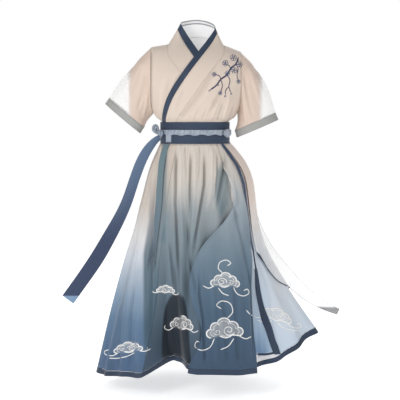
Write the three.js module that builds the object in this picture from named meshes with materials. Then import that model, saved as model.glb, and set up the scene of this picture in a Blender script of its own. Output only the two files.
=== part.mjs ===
// A women's hanfu, filled out as it is worn: a cross-collared top with sheer short sleeves,
// tucked into a long layered wrap skirt with a navy waistband, a pale sash and flying ribbons.
// Millimetres, +Z up. The origin is the middle of the neck base. The front faces -Y, and
// +X is the wearer's left, which is the right-hand side seen from the front.
// "down" in every table is the distance below the neck base.

import * as THREE from "three";

// Cloth
const CLOTH = 1.5;
const SHEER = 1.2;
const BINDING = 2.4;
const SEAM = 0.4;
const LAYER = 5.5;

// Heights, below the neck base
const TUCK = 392;
const WAIST_TOP = 350;
const UNDERARM = 330;
const BAND_HEIGHT = 84;
const WAIST_BOTTOM = WAIST_TOP + BAND_HEIGHT;

// Waistband ring, measured outside
const WAIST_MIDDLE = -4;
const WAIST_HALF = 138;
const WAIST_FRONT = 101;
const WAIST_BACK = 94;

// Shoulders
const SHOULDER_HALF = 176;
const NECK_HALF = 110;
const SHOULDER_ROUND = 130;
const ROUND_POWER = 2.2;

// Columns and rows of the top: how closely they crowd towards the shoulder seam and the arm,
// and how late a row of a front leans to meet the collar seam
const FRONT_COLUMNS = 13;
const BACK_COLUMNS = 9;
const SHOULDER_COLUMNS = 3;
const HIGH_ROWS = 10;
const ROW_CROWD = 1.6;
const ARM_CROWD = 1.4;
const SEAM_LEAN = 8;

// Where the over front eases down to the under front: at the shoulder seam (by depth), at
// the wearer's left arm and at the crossing (by place across)
const OVER_EASE = { shallow: 20, deep: 60, armFrom: 125, armTo: 165, crossFrom: 30, crossTo: -10 };

// Hem bindings
const HEM_BAND = 20;

// The top: side seams, depth at the middle of the front and of the back, depth of the
// armhole edge, and how squarely the cloth turns at the side (0.5 is an ellipse)
const BODICE = [
  { down: 40, left: -176, right: 176, front: 100, back: 96, arm: 74, square: 1.0 },
  { down: 120, left: -176, right: 176, front: 110, back: 108, arm: 74, square: 1.0 },
  { down: 200, left: -176, right: 176, front: 122, back: 112, arm: 72, square: 1.0 },
  { down: 260, left: -176, right: 176, front: 122, back: 108, arm: 58, square: 0.9 },
  { down: 300, left: -175, right: 172, front: 117, back: 102, arm: 34, square: 0.7 },
  { down: 330, left: -162, right: 157, front: 108, back: 96, arm: 0, square: 0.5 },
  { down: 350, left: -132, right: 124, front: 90, back: 86, arm: 0, square: 0.5 },
  { down: 392, left: -132, right: 124, front: 89, back: 85, arm: 0, square: 0.5 },
];

// Height of the shoulder seam from the wearer's right arm to the left arm
const SHOULDER = [
  { across: -176, down: 56 },
  { across: -110, down: 46 },
  { across: 0, down: 40 },
  { across: 110, down: 50 },
  { across: 176, down: 74 },
];

// Soft folds of the top: a ridge along a line, its half width and its rise
const TOP_FOLDS = [
  { x1: -152, down1: 100, x2: -152, down2: 320, half: 24, rise: 6 },
  { x1: -90, down1: 110, x2: -116, down2: 280, half: 26, rise: 6 },
  { x1: 96, down1: 150, x2: 20, down2: 345, half: 26, rise: 6 },
  { x1: 120, down1: 190, x2: 70, down2: 345, half: 24, rise: 8 },
  { x1: 150, down1: 150, x2: 116, down2: 335, half: 26, rise: 9 },
];

// Collar, from the end of the over front at the waist, round the neck, to the end of the
// under front. "in" is the free edge and "out" the seam on the fronts and the back.
// lie is 1 where the collar lies on the chest and 0 where it stands on the neck.
const COLLAR = [
  { inX: -131, inY: 0, inDown: 392, outX: -86, outY: 0, outDown: 392, lie: 1 },
  { inX: -132, inY: 0, inDown: 350, outX: -78, outY: 0, outDown: 350, lie: 1 },
  { inX: -131, inY: 0, inDown: 295, outX: -50, outY: 0, outDown: 307, lie: 1 },
  { inX: -104, inY: 0, inDown: 236, outX: -22, outY: 0, outDown: 267, lie: 1 },
  { inX: -42, inY: 0, inDown: 143, outX: 36, outY: 0, outDown: 184, lie: 1 },
  { inX: 12, inY: -74, inDown: 72, outX: 82, outY: 0, outDown: 126, lie: 1 },
  { inX: 46, inY: -50, inDown: 27, outX: 110, outY: 0, outDown: 86, lie: 0.4 },
  { inX: 76, inY: -8, inDown: -18, outX: NECK_HALF, outY: 0, outDown: 50, lie: 0 },
  { inX: 70, inY: 28, inDown: -36, outX: 86, outY: 42, outDown: 28, lie: 0 },
  { inX: 42, inY: 54, inDown: -50, outX: 46, outY: 66, outDown: 16, lie: 0 },
  { inX: 8, inY: 61, inDown: -56, outX: 0, outY: 72, outDown: 12, lie: 0 },
  { inX: -26, inY: 54, inDown: -53, outX: -46, outY: 66, outDown: 16, lie: 0 },
  { inX: -54, inY: 28, inDown: -45, outX: -86, outY: 42, outDown: 27, lie: 0 },
  { inX: -60, inY: -8, inDown: -36, outX: -NECK_HALF, outY: 0, outDown: 46, lie: 0 },
  { inX: -30, inY: -50, inDown: 16, outX: -110, outY: 0, outDown: 86, lie: 0.4 },
  { inX: 12, inY: -74, inDown: 78, outX: -84, outY: 0, outDown: 128, lie: 1 },
  { inX: 48, inY: 0, inDown: 136, outX: -36, outY: 0, outDown: 184, lie: 1 },
  { inX: 100, inY: 0, inDown: 236, outX: 22, outY: 0, outDown: 267, lie: 1 },
  { inX: 114, inY: 0, inDown: 300, outX: 52, outY: 0, outDown: 312, lie: 1 },
  { inX: 108, inY: 0, inDown: 350, outX: 66, outY: 0, outDown: 350, lie: 1 },
  { inX: 106, inY: 0, inDown: 392, outX: 66, outY: 0, outDown: 392, lie: 1 },
];
const OVER_SHOULDER = 7;
const UNDER_SHOULDER = 13;
const NAVY_SHARE = 0.25;
const NAVY_GAP = 0.006;

// Sleeves: the top and the underarm end of the seam to the cuff, and of the open edge
const SLEEVES = [
  {
    name: "right", side: -1, bulge: 7,
    seamTop: { x: -344, down: 254 }, seamLow: { x: -203, down: 371 },
    openTop: { x: -360, down: 277 }, openLow: { x: -219, down: 396 },
  },
  {
    name: "left", side: 1, bulge: 21,
    seamTop: { x: 316, down: 312 }, seamLow: { x: 152, down: 384 },
    openTop: { x: 328, down: 340 }, openLow: { x: 160, down: 412 },
  },
];
const CUFF_DEPTH = 62;
const SLEEVE_STEPS = 7;
const SLEEVE_FOLDS = 5;
const SLEEVE_FOLD_RISE = 5;
const SLEEVE_FULL = 6;
const SLEEVE_FOLD_TWIST = 2;
const SLEEVE_BULGE_WAY = { x: 0.76, z: 0.65 };

// Skirt outline at the sides, and its depth at the middle of the front and of the back
const SKIRT = [
  { down: 434, left: -142, right: 134, front: 101, back: 94 },
  { down: 470, left: -162, right: 166, front: 120, back: 112 },
  { down: 524, left: -184, right: 208, front: 146, back: 136 },
  { down: 664, left: -212, right: 232, front: 188, back: 180 },
  { down: 824, left: -262, right: 252, front: 226, back: 220 },
  { down: 1024, left: -320, right: 308, front: 262, back: 258 },
  { down: 1184, left: -366, right: 362, front: 282, back: 280 },
  { down: 1350, left: -406, right: 384, front: 296, back: 294 },
];

// Height of the hem round the skirt. 0 degrees is the front and +90 the wearer's left.
const HEM = [
  { angle: -180, down: 1300 },
  { angle: -120, down: 1306 },
  { angle: -80, down: 1344 },
  { angle: -45, down: 1326 },
  { angle: -29, down: 1312 },
  { angle: -24.5, down: 1284 },
  { angle: -17, down: 1274 },
  { angle: -4, down: 1286 },
  { angle: 30, down: 1300 },
  { angle: 48, down: 1304 },
  { angle: 59, down: 1276 },
  { angle: 68, down: 1232 },
  { angle: 82, down: 1186 },
  { angle: 100, down: 1200 },
  { angle: 118, down: 1244 },
  { angle: 145, down: 1290 },
  { angle: 180, down: 1300 },
];

// Folds of the skirt: where each starts at the waist and ends at the hem, its half width
// at the hem, its depth there (out is positive), how far down it begins, and how flat it is
const SKIRT_FOLDS = [
  { top: -33, hem: -17, half: 12, depth: -118, from: 0.42, flat: 6 },
  { top: -37, hem: -27, half: 7, depth: 16, from: 0.05, flat: 2 },
  { top: -28, hem: -21, half: 6, depth: -24, from: 0.0, flat: 2 },
  { top: -50, hem: -41, half: 9, depth: -16, from: 0.1, flat: 2 },
  { top: -62, hem: -53, half: 7, depth: -20, from: 0.2, flat: 2 },
  { top: -76, hem: -72, half: 10, depth: -24, from: 0.12, flat: 2 },
  { top: -94, hem: -93, half: 11, depth: -30, from: 0.1, flat: 2 },
  { top: -112, hem: -114, half: 10, depth: -34, from: 0.05, flat: 2 },
  { top: -130, hem: -134, half: 11, depth: -40, from: 0.05, flat: 2 },
  { top: -150, hem: -155, half: 12, depth: -36, from: 0.05, flat: 2 },
  { top: -171, hem: -176, half: 11, depth: -42, from: 0.05, flat: 2 },
  { top: -7, hem: -3, half: 7, depth: -40, from: 0.0, flat: 2 },
  { top: 14, hem: 10, half: 9, depth: -34, from: 0.0, flat: 2 },
  { top: 34, hem: 26, half: 10, depth: -30, from: 0.0, flat: 2 },
  { top: 48, hem: 47, half: 12, depth: -64, from: 0.35, flat: 4 },
  { top: 64, hem: 62, half: 6, depth: -18, from: 0.1, flat: 2 },
  { top: 88, hem: 86, half: 34, depth: 124, from: 0.45, flat: 2 },
  { top: 80, hem: 76, half: 7, depth: -22, from: 0.15, flat: 2 },
  { top: 100, hem: 98, half: 9, depth: -30, from: 0.1, flat: 2 },
  { top: 120, hem: 120, half: 11, depth: -38, from: 0.05, flat: 2 },
  { top: 141, hem: 143, half: 11, depth: -40, from: 0.05, flat: 2 },
  { top: 162, hem: 163, half: 11, depth: -36, from: 0.05, flat: 2 },
];
const FOLD_GROWTH = 1.25;

// A fold that begins this close to the waist is a pleat, pressed this deep under the waistband
const PLEAT_FROM = 0.08;
const PLEAT_DEPTH = 5;
const PLEAT_EASE = 0.06;

// Cut of the skirt ring into its sewn panels
const PANELS = [
  { name: "skirt_side_right", from: -112, to: -30, columns: 24, colour: 0x8fa6ba },
  { name: "skirt_middle", from: -30, to: 38, columns: 30, colour: 0x74858d },
  { name: "skirt_side_left", from: 38, to: 104, columns: 24, colour: 0x9db3cc },
  { name: "skirt_back_left", from: 104, to: 176, columns: 20, colour: 0x7f95a8 },
  { name: "skirt_back_right", from: 176, to: 248, columns: 20, colour: 0x7f95a8 },
];
const SKIRT_ROWS = 10;
const SKIRT_CROWD = 0.9;
const SEAM_ANGLE = 0.08;

// The front wrap panel: its swept free edge and its straight edge
const WRAP = [
  { down: 437, left: 84, right: 100 },
  { down: 520, left: 108, right: 142 },
  { down: 600, left: 130, right: 170 },
  { down: 668, left: 142, right: 188 },
  { down: 735, left: 100, right: 198 },
  { down: 790, left: 40, right: 203 },
  { down: 850, left: 2, right: 205 },
  { down: 925, left: -22, right: 208 },
  { down: 995, left: -24, right: 211 },
  { down: 1070, left: 0, right: 214 },
  { down: 1140, left: 28, right: 218 },
  { down: 1190, left: 10, right: 221 },
  { down: 1240, left: -22, right: 225 },
  { down: 1304, left: -32, right: 229 },
];
const WRAP_OUT = 9;
const WRAP_HEM_LIFT = 14;
const WRAP_COLUMNS = 14;
const WRAP_ROWS = 16;
const WRAP_EASED = 600;
const WRAP_FOLDS_FULL = 900;
const WRAP_DEEPEST = -4;
const WRAP_FOLDS = [
  { at: 0.12, half: 0.14, rise: 12 },
  { at: 0.45, half: 0.16, rise: -10 },
  { at: 0.74, half: 0.15, rise: 9 },
];

// The short cream overlay on the wearer's left: angle of its front edge and of its back
// edge at each height, and its curved lower edge
const OVERLAY = [
  { down: 437, front: 51, back: 128 },
  { down: 544, front: 57, back: 128 },
  { down: 716, front: 61, back: 128 },
  { down: 840, front: 64, back: 128 },
];
const OVERLAY_LOW = [
  { share: 0, down: 850 },
  { share: 0.1, down: 930 },
  { share: 0.26, down: 1006 },
  { share: 0.45, down: 1032 },
  { share: 1, down: 1016 },
];
const OVERLAY_OUT = 7;
const OVERLAY_TOP_OUT = 3.1;
const OVERLAY_EASED = 600;
const OVERLAY_RIM = 0.02;
const OVERLAY_COLUMNS = 18;
const OVERLAY_ROWS = 8;

// Ribbons that lie on the skirt: angle of the middle, half width in degrees
const RIBBON_OUT = CLOTH + 2.1;
const NAVY_RIBBON_OUT = CLOTH + 1.7;
const RIBBON_ROWS = 16;
const RIBBON_COLUMNS = 5;
const RIBBON_LEAVES = 10;
const RIBBON_LIES = 70;
const TEAL_RIBBON = [
  { down: 437, angle: -52, half: 7.5 },
  { down: 560, angle: -45, half: 6.0 },
  { down: 664, angle: -41, half: 5.2 },
  { down: 800, angle: -38, half: 4.4 },
  { down: 940, angle: -36.5, half: 3.8 },
];
const PALE_RIBBON = [
  { down: 437, angle: 47, half: 3.2 },
  { down: 560, angle: 54, half: 2.2 },
  { down: 716, angle: 57.5, half: 1.9 },
  { down: 850, angle: 61, half: 1.7 },
];
const NAVY_RIBBON = [
  { down: 917, angle: 58, half: 1.6 },
  { down: 1041, angle: 55.5, half: 1.6 },
  { down: 1160, angle: 57, half: 1.6 },
  { down: 1250, angle: 58.5, half: 1.6 },
];

// Ribbons that fly free of the skirt: middle line, width, and turn about that line
const NAVY_TAIL = [
  { x: -141, y: -58, down: 409, wide: 26, turn: 40 },
  { x: -170, y: -66, down: 432, wide: 34, turn: 24 },
  { x: -208, y: -72, down: 488, wide: 40, turn: 8 },
  { x: -240, y: -76, down: 570, wide: 40, turn: 0 },
  { x: -266, y: -80, down: 650, wide: 42, turn: -6 },
  { x: -298, y: -84, down: 722, wide: 46, turn: -4 },
  { x: -342, y: -86, down: 802, wide: 52, turn: 4 },
  { x: -388, y: -86, down: 882, wide: 56, turn: 8 },
  { x: -446, y: -84, down: 966, wide: 54, turn: 4 },
  { x: -504, y: -80, down: 1046, wide: 54, turn: -4 },
];
const CUP = 3;
const FLY_ROWS = 16;
const FLY_REACH = 0.1;
const SHEER_TAIL = [
  { x: 119, y: 45, down: 412, wide: 18, turn: 128 },
  { x: 140, y: 56, down: 450, wide: 26, turn: 120 },
  { x: 186, y: 84, down: 520, wide: 32, turn: 108 },
  { x: 228, y: 110, down: 640, wide: 36, turn: 98 },
  { x: 258, y: 124, down: 760, wide: 40, turn: 82 },
  { x: 302, y: 124, down: 868, wide: 46, turn: 50 },
  { x: 358, y: 104, down: 958, wide: 58, turn: 18 },
  { x: 430, y: 84, down: 1036, wide: 54, turn: 0 },
  { x: 506, y: 66, down: 1088, wide: 40, turn: -8 },
  { x: 578, y: 60, down: 1120, wide: 26, turn: -4 },
];

// Sash and its knots
const SASH_TOP = 380;
const SASH_HEIGHT = 20;
const SASH_OUT = 3.2;
const SASH_WAVES = 16;
const SASH_WAVE = 3.5;
const SASH_THICK = 2.6;
const WAIST_COLUMNS = 40;
const SASH_COLUMNS = 64;
const KNOTS = [
  { name: "knot_right", angle: -62, down: 393, wide: 17, tall: 15, deep: 11 },
  { name: "knot_left", angle: 56, down: 393, wide: 21, tall: 17, deep: 12 },
];
const KNOT_COLUMNS = 14;
const KNOT_ROWS = 9;
const KNOT_WRAPS = 3;
const KNOT_DIP = 0.1;
const BOW = { angle: -88, down: 376, wide: 15, tall: 22, deep: 9, thick: 2.2 };
const BOW_COLUMNS = 20;

// Steps over which a surface's normal is measured
const COLLAR_PROBE = { across: 0.12, up: 0.04 };
const SKIRT_PROBE = { across: 0.4, up: -2 };
const RIBBON_PROBE = { across: 1.2, up: -8 };

const radians = (degrees) => (degrees * Math.PI) / 180;
const clamp = (value, low, high) => Math.min(Math.max(value, low), high);
const mix = (a, b, share) => a + (b - a) * share;
const smooth = (low, high, value) => {
  const t = clamp((value - low) / (high - low), 0, 1);
  return t * t * (3 - 2 * t);
};
const steps = (count) => Array.from({ length: count + 1 }, (_, k) => k / count);

// The value of one column of a table, on a smooth curve through its rows
function along(table, key, column, at) {
  const last = table.length - 1;
  let k = 0;
  while (k < last - 1 && at > table[k + 1][key]) k += 1;
  const slope = (a, b) =>
    (table[b][column] - table[a][column]) / (table[b][key] - table[a][key]);
  const width = table[k + 1][key] - table[k][key];
  const t = clamp((at - table[k][key]) / width, 0, 1);
  const here = slope(k, k + 1);
  const before = k > 0 ? (slope(k - 1, k) + here) / 2 : here;
  const after = k < last - 1 ? (slope(k + 1, k + 2) + here) / 2 : here;
  const a = table[k][column];
  const b = table[k + 1][column];
  const t2 = t * t;
  const t3 = t2 * t;
  return (2 * t3 - 3 * t2 + 1) * a + (t3 - 2 * t2 + t) * width * before
    + (3 * t2 - 2 * t3) * b + (t3 - t2) * width * after;
}

// A smooth value between the numbered rows of a table
function between(table, column, position) {
  const k = clamp(Math.floor(position), 0, table.length - 2);
  const t = position - k;
  const value = (index) => table[clamp(index, 0, table.length - 1)][column];
  const [p0, p1, p2, p3] = [value(k - 1), value(k), value(k + 1), value(k + 2)];
  return p1 + 0.5 * t * (p2 - p0 + t * (2 * p0 - 5 * p1 + 4 * p2 - p3
    + t * (3 * (p1 - p2) + p3 - p0)));
}

// A closed cloth wall from a grid of outer points. Columns run to the right as seen from
// outside and rows run up, so that the normal points out. Both sides are split along the same
// diagonal, so that the wall keeps its thickness where it twists. normals gives the cloth's own
// normals where two pieces share a seam. flat(i, j) gives a direction to take out of the
// normal where an edge meets its neighbour in a plane.
function wall(grid, thick, { ring = false, normals = null, flat = () => null } = {}) {
  const columns = grid.length;
  const rows = grid[0].length;
  const at = (i, j) => grid[ring ? (i + columns) % columns : clamp(i, 0, columns - 1)][
    clamp(j, 0, rows - 1)];
  const gridNormal = (i, j) => {
    const across = at(i + 1, j).clone().sub(at(i - 1, j));
    return across.cross(at(i, j + 1).clone().sub(at(i, j - 1))).normalize();
  };
  const inner = grid.map((column, i) => column.map((point, j) => {
    const normal = normals ? normals[i][j].clone() : gridNormal(i, j);
    const axis = flat(i, j);
    if (axis) normal.addScaledVector(axis, -normal.dot(axis)).normalize();
    return point.clone().addScaledVector(normal, -thick);
  }));
  const positions = [];
  const quad = (a, b, c, d) => {
    for (const p of [a, b, c, a, c, d]) positions.push(p.x, p.y, p.z);
  };
  const spans = ring ? columns : columns - 1;
  const next = (i) => (i + 1) % columns;
  for (let i = 0; i < spans; i += 1) {
    const n = next(i);
    for (let j = 0; j < rows - 1; j += 1) {
      quad(grid[i][j], grid[n][j], grid[n][j + 1], grid[i][j + 1]);
      quad(inner[i][j], inner[i][j + 1], inner[n][j + 1], inner[n][j]);
    }
    const top = rows - 1;
    quad(grid[n][0], grid[i][0], inner[i][0], inner[n][0]);
    quad(grid[i][top], grid[n][top], inner[n][top], inner[i][top]);
  }
  if (!ring) {
    const end = columns - 1;
    for (let j = 0; j < rows - 1; j += 1) {
      quad(grid[0][j], grid[0][j + 1], inner[0][j + 1], inner[0][j]);
      quad(grid[end][j + 1], grid[end][j], inner[end][j], inner[end][j + 1]);
    }
  }
  const geometry = new THREE.BufferGeometry();
  geometry.setAttribute("position", new THREE.Float32BufferAttribute(positions, 3));
  return geometry;
}

// The normal of a surface given by a function of two values, columns first
function surfaceNormal(surface, u, v, probe) {
  const across = surface(u + probe.across, v).sub(surface(u - probe.across, v));
  const up = surface(u, v + probe.up).sub(surface(u, v - probe.up));
  return across.cross(up).normalize();
}

// Cloth finishes
const group = new THREE.Group();
const CREAM = { color: 0xdecdbe, roughness: 0.8, metalness: 0 };
const NAVY = { color: 0x2f4560, roughness: 0.7, metalness: 0 };
const PALE = { color: 0xa5b4c3, roughness: 0.7, metalness: 0 };
const TEAL = { color: 0x5f7d87, roughness: 0.7, metalness: 0 };
const ORGANZA = { color: 0xf2efec, roughness: 0.5, metalness: 0 };

function add(name, geometry, finish) {
  const mesh = new THREE.Mesh(geometry, new THREE.MeshStandardMaterial(finish));
  mesh.name = name;
  group.add(mesh);
}

// Height of the shoulder seam
function shoulderHeight(x) {
  return -along(SHOULDER, "across", "down", clamp(x, -SHOULDER_HALF, SHOULDER_HALF));
}

// Rise of the soft folds of the top
function foldRise(x, z) {
  let rise = 0;
  for (const fold of TOP_FOLDS) {
    const dx = fold.x2 - fold.x1;
    const dz = fold.down1 - fold.down2;
    const t = clamp(((x - fold.x1) * dx + (z + fold.down1) * dz) / (dx * dx + dz * dz), 0, 1);
    const away = Math.hypot(x - fold.x1 - dx * t, z + fold.down1 - dz * t);
    const fade = Math.sin(Math.PI * t);
    if (away >= fold.half) continue;
    rise += (fold.rise * fade * (1 + Math.cos((Math.PI * away) / fold.half))) / 2;
  }
  return rise;
}

// How far the cloth of the top stands from the plane through the shoulder seams
function topDepth(x, z, column, grow) {
  const down = clamp(-z, BODICE[0].down, TUCK);
  const left = along(BODICE, "down", "left", down) - grow;
  const right = along(BODICE, "down", "right", down) + grow;
  const half = (right - left) / 2;
  const aside = clamp(Math.abs(x - (left + right) / 2) / half, 0, 1);
  const turn = (1 - aside * aside) ** along(BODICE, "down", "square", down);
  const arm = Math.max(along(BODICE, "down", "arm", down), 0);
  const middle = along(BODICE, "down", column, down) + grow + foldRise(x, z);
  return middle * turn + (arm + grow) * (1 - turn);
}

// The rounding of the cloth over the shoulder: 0 at its seam and 1 lower down
function roundOver(x, z, ridge) {
  const q = clamp((ridge - z) / SHOULDER_ROUND, 0, 1);
  return (1 - (1 - q) ** ROUND_POWER) ** (1 / ROUND_POWER);
}

function frontDepth(x, z, grow) {
  return topDepth(x, z, "front", grow) * roundOver(x, z, shoulderHeight(x));
}

// The over front lies one layer outside the under front, and comes down to it at the
// shoulder seam and at the wearer's left arm
function overGrow(x, z) {
  const ease = OVER_EASE;
  const low = smooth(ease.shallow, ease.deep, frontDepth(x, z, 0));
  const side = 1 - smooth(ease.armFrom, ease.armTo, x);
  return LAYER * mix(low * side, 1, smooth(ease.crossFrom, ease.crossTo, x));
}

function frontPoint(x, z, over) {
  const grow = over ? overGrow(x, z) : 0;
  return new THREE.Vector3(x, -frontDepth(x, z, grow), z);
}

// A point of the collar: position counts the rows of its table, and share runs across it
// from the free edge to the seam
function collarPoint(position, share) {
  const column = (name) => between(COLLAR, name, position);
  const x = mix(column("inX"), column("outX"), share);
  const z = -mix(column("inDown"), column("outDown"), share);
  if (position > OVER_SHOULDER && position < UNDER_SHOULDER) {
    return new THREE.Vector3(x, mix(column("inY"), column("outY"), share), z);
  }
  const over = position <= OVER_SHOULDER;
  const lie = clamp(column("lie"), 0, 1);
  const seam = frontPoint(column("outX"), -column("outDown"), over).y;
  const ruled = mix(column("inY"), seam, share);
  return new THREE.Vector3(x, mix(ruled, frontPoint(x, z, over).y, lie), z);
}

// Rows of the top, from the tucked edge to the shoulder seam
const LOW_ROWS = [TUCK, 368, WAIST_TOP, 341, UNDERARM];
const HIGH_SHARES = steps(HIGH_ROWS).slice(1).map((k) => 1 - (1 - k) ** ROW_CROWD);
const TOP_ROWS = [...LOW_ROWS.map((down) => ({ down })), ...HIGH_SHARES.map((share) => ({ share }))];
const UNDERARM_ROW = LOW_ROWS.length - 1;

function rowHeight(row, ridge) {
  return row.down === undefined ? mix(-UNDERARM, ridge, row.share) : -row.down;
}

// Where the collar seam meets each row of a front, as a position on the collar
const HALVINGS = 40;
function seamPosition(row, low, high) {
  const rising = between(COLLAR, "outDown", high) < between(COLLAR, "outDown", low);
  let [a, b] = [low, high];
  for (let k = 0; k < HALVINGS; k += 1) {
    const middle = (a + b) / 2;
    const x = between(COLLAR, "outX", middle);
    const below = -between(COLLAR, "outDown", middle) < rowHeight(row, shoulderHeight(x));
    if (below === rising) a = middle;
    else b = middle;
  }
  return (a + b) / 2;
}
const OVER_STATIONS = TOP_ROWS.map((row, k) => {
  if (k === 0) return 0;
  return k === TOP_ROWS.length - 1 ? OVER_SHOULDER : seamPosition(row, 0, OVER_SHOULDER);
});
const UNDER_STATIONS = TOP_ROWS.map((row, k) => {
  const end = COLLAR.length - 1;
  if (k === 0) return end;
  return k === TOP_ROWS.length - 1 ? UNDER_SHOULDER : seamPosition(row, UNDER_SHOULDER, end);
}).reverse();
const BACK_STATIONS = steps(BACK_COLUMNS).map((k) => mix(OVER_SHOULDER, UNDER_SHOULDER, k));
const STATIONS = [...OVER_STATIONS, ...BACK_STATIONS.slice(1, -1), ...UNDER_STATIONS];

// Normals at the edges of the top: flat in the plane of the seam
const ALONG_X = new THREE.Vector3(1, 0, 0);
const ALONG_Y = new THREE.Vector3(0, 1, 0);
function topEdge(columns) {
  const top = TOP_ROWS.length - 1;
  return (i, j) => {
    if (j === top) return ALONG_Y;
    if (i !== 0 && i !== columns) return null;
    return j > UNDERARM_ROW ? ALONG_X : ALONG_Y;
  };
}

function frontPanel(over) {
  const stations = over ? OVER_STATIONS : [...UNDER_STATIONS].reverse();
  const flatEdge = topEdge(FRONT_COLUMNS);
  const grid = steps(FRONT_COLUMNS).map((u) => TOP_ROWS.map((row, j) => {
    const seamX = between(COLLAR, "outX", stations[j]) + (over ? SEAM : -SEAM);
    const seamZ = -between(COLLAR, "outDown", stations[j]);
    const sideZ = rowHeight(row, shoulderHeight(over ? SHOULDER_HALF : -SHOULDER_HALF));
    const sideX = along(BODICE, "down", over ? "right" : "left", -sideZ);
    const share = over ? 1 - (1 - u) ** ARM_CROWD : u ** ARM_CROWD;
    const x = over ? mix(seamX, sideX, share) : mix(sideX, seamX, share);
    const near = over ? 1 - share : share;
    const ridge = shoulderHeight(x);
    const z = j > UNDERARM_ROW ? mix(rowHeight(row, ridge), seamZ, near ** SEAM_LEAN) : sideZ;
    const point = frontPoint(x, z, over);
    point.y = Math.min(point.y, -SEAM / 2);
    return point;
  }));
  return wall(grid, CLOTH, {
    flat: (i, j) => {
      const seamColumn = over ? 0 : FRONT_COLUMNS;
      if (i === seamColumn) return j === TOP_ROWS.length - 1 ? ALONG_Y : null;
      return flatEdge(i, j);
    },
  });
}

// The back reaches from arm to arm, and up to the collar seam behind the neck
function backPanel() {
  const neck = BACK_STATIONS.map((position) => ({
    x: between(COLLAR, "outX", position),
    y: between(COLLAR, "outY", position),
    z: -between(COLLAR, "outDown", position) - SEAM,
  }));
  const shoulder = (side) => steps(SHOULDER_COLUMNS).slice(1).reverse().map((k) => {
    const x = side * mix(NECK_HALF, SHOULDER_HALF, k);
    return { x, y: 0, z: shoulderHeight(x) };
  });
  const tops = [...shoulder(1), ...neck, ...shoulder(-1).reverse()];
  const grid = tops.map((top) => TOP_ROWS.map((row) => {
    const z = rowHeight(row, top.z);
    const left = along(BODICE, "down", "left", -z);
    const right = along(BODICE, "down", "right", -z);
    const x = mix((left + right) / 2, top.x >= 0 ? right : left, Math.abs(top.x) / SHOULDER_HALF);
    const depth = topDepth(x, z, "back", 0);
    const y = top.y + (depth - top.y) * roundOver(x, z, top.z);
    return new THREE.Vector3(x, Math.max(y, SEAM / 2), z);
  }));
  return wall(grid, CLOTH, { flat: topEdge(tops.length - 1) });
}

// The armhole edge: up the front and down the back, between the underarm and the shoulder
function armhole(side) {
  const ridge = shoulderHeight(side * SHOULDER_HALF);
  const rows = TOP_ROWS.slice(UNDERARM_ROW).reverse();
  const edge = (column, sign) => rows.map((row) => {
    const z = rowHeight(row, ridge);
    const x = along(BODICE, "down", side > 0 ? "right" : "left", -z);
    const depth = topDepth(x, z, column, 0) * roundOver(x, z, ridge);
    return new THREE.Vector3(x + side * SEAM, sign * depth, z);
  });
  return [...edge("front", -1), ...edge("back", 1).reverse().slice(1, -1)];
}

// The oval of a cuff, with as many points as the armhole has, from its top round the front
function cuffRing(top, low, count) {
  const middle = new THREE.Vector3((top.x + low.x) / 2, 0, -(top.down + low.down) / 2);
  const half = new THREE.Vector3(top.x, 0, -top.down).sub(middle);
  return Array.from({ length: count }, (_, k) => {
    const turn = (2 * Math.PI * k) / count;
    return middle.clone().addScaledVector(half, Math.cos(turn))
      .add(new THREE.Vector3(0, -CUFF_DEPTH * Math.sin(turn), 0));
  });
}

function sleeveGrid(sleeve, from, to, fromShare, toShare, count) {
  const out = new THREE.Vector3(sleeve.side * SLEEVE_BULGE_WAY.x, 0, SLEEVE_BULGE_WAY.z);
  return from.map((start, i) => {
    const turn = (2 * Math.PI * i) / from.length;
    const column = steps(count).map((k) => {
      const share = mix(fromShare, toShare, k);
      const point = start.clone().lerp(to[i], k);
      const rise = Math.sin(Math.PI * clamp(share, 0, 1));
      point.addScaledVector(out, sleeve.bulge * rise * Math.max(Math.cos(turn), 0));
      point.x += sleeve.side * SLEEVE_FULL * rise;
      const wave = Math.sin(SLEEVE_FOLDS * turn + SLEEVE_FOLD_TWIST * share);
      point.y += SLEEVE_FOLD_RISE * rise * wave;
      return point;
    });
    return sleeve.side > 0 ? column : column.reverse();
  });
}

// Walls of the sleeve end square to the seams
function sleeveParts(sleeve) {
  const start = armhole(sleeve.side);
  const count = start.length;
  const seam = cuffRing(sleeve.seamTop, sleeve.seamLow, count);
  const open = cuffRing(sleeve.openTop, sleeve.openLow, count);
  const armRow = sleeve.side > 0 ? 0 : SLEEVE_STEPS;
  const seamRow = SLEEVE_STEPS - armRow;
  const down = new THREE.Vector3(sleeve.openTop.x - sleeve.seamTop.x, 0,
    sleeve.seamTop.down - sleeve.openTop.down).normalize();
  const grid = sleeveGrid(sleeve, start, seam, 0, 1, SLEEVE_STEPS);
  const ends = (i, j) => {
    if (j === armRow) return ALONG_X;
    return j === seamRow ? down : null;
  };
  add(`sleeve_${sleeve.name}`, wall(grid, SHEER, { ring: true, flat: ends }), ORGANZA);
  const apart = seam.map((point) => point.clone().addScaledVector(down, SEAM));
  const cuff = sleeveGrid(sleeve, apart, open, 1, 1, 1);
  add(`cuff_${sleeve.name}`, wall(cuff, BINDING, { ring: true, flat: () => down }), PALE);
}

function collarStrip(from, to, rows, thick) {
  const last = COLLAR.length - 1;
  const surface = (position, share) => collarPoint(clamp(position, 0, last), 1 - share);
  const shares = steps(rows).map((k) => mix(to, from, k));
  const grid = STATIONS.map((position) => shares.map((share) => collarPoint(position, share)));
  const normals = STATIONS.map((position) => shares.map((share) =>
    surfaceNormal(surface, position, 1 - share, COLLAR_PROBE)));
  return wall(grid, thick, { normals });
}

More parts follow.
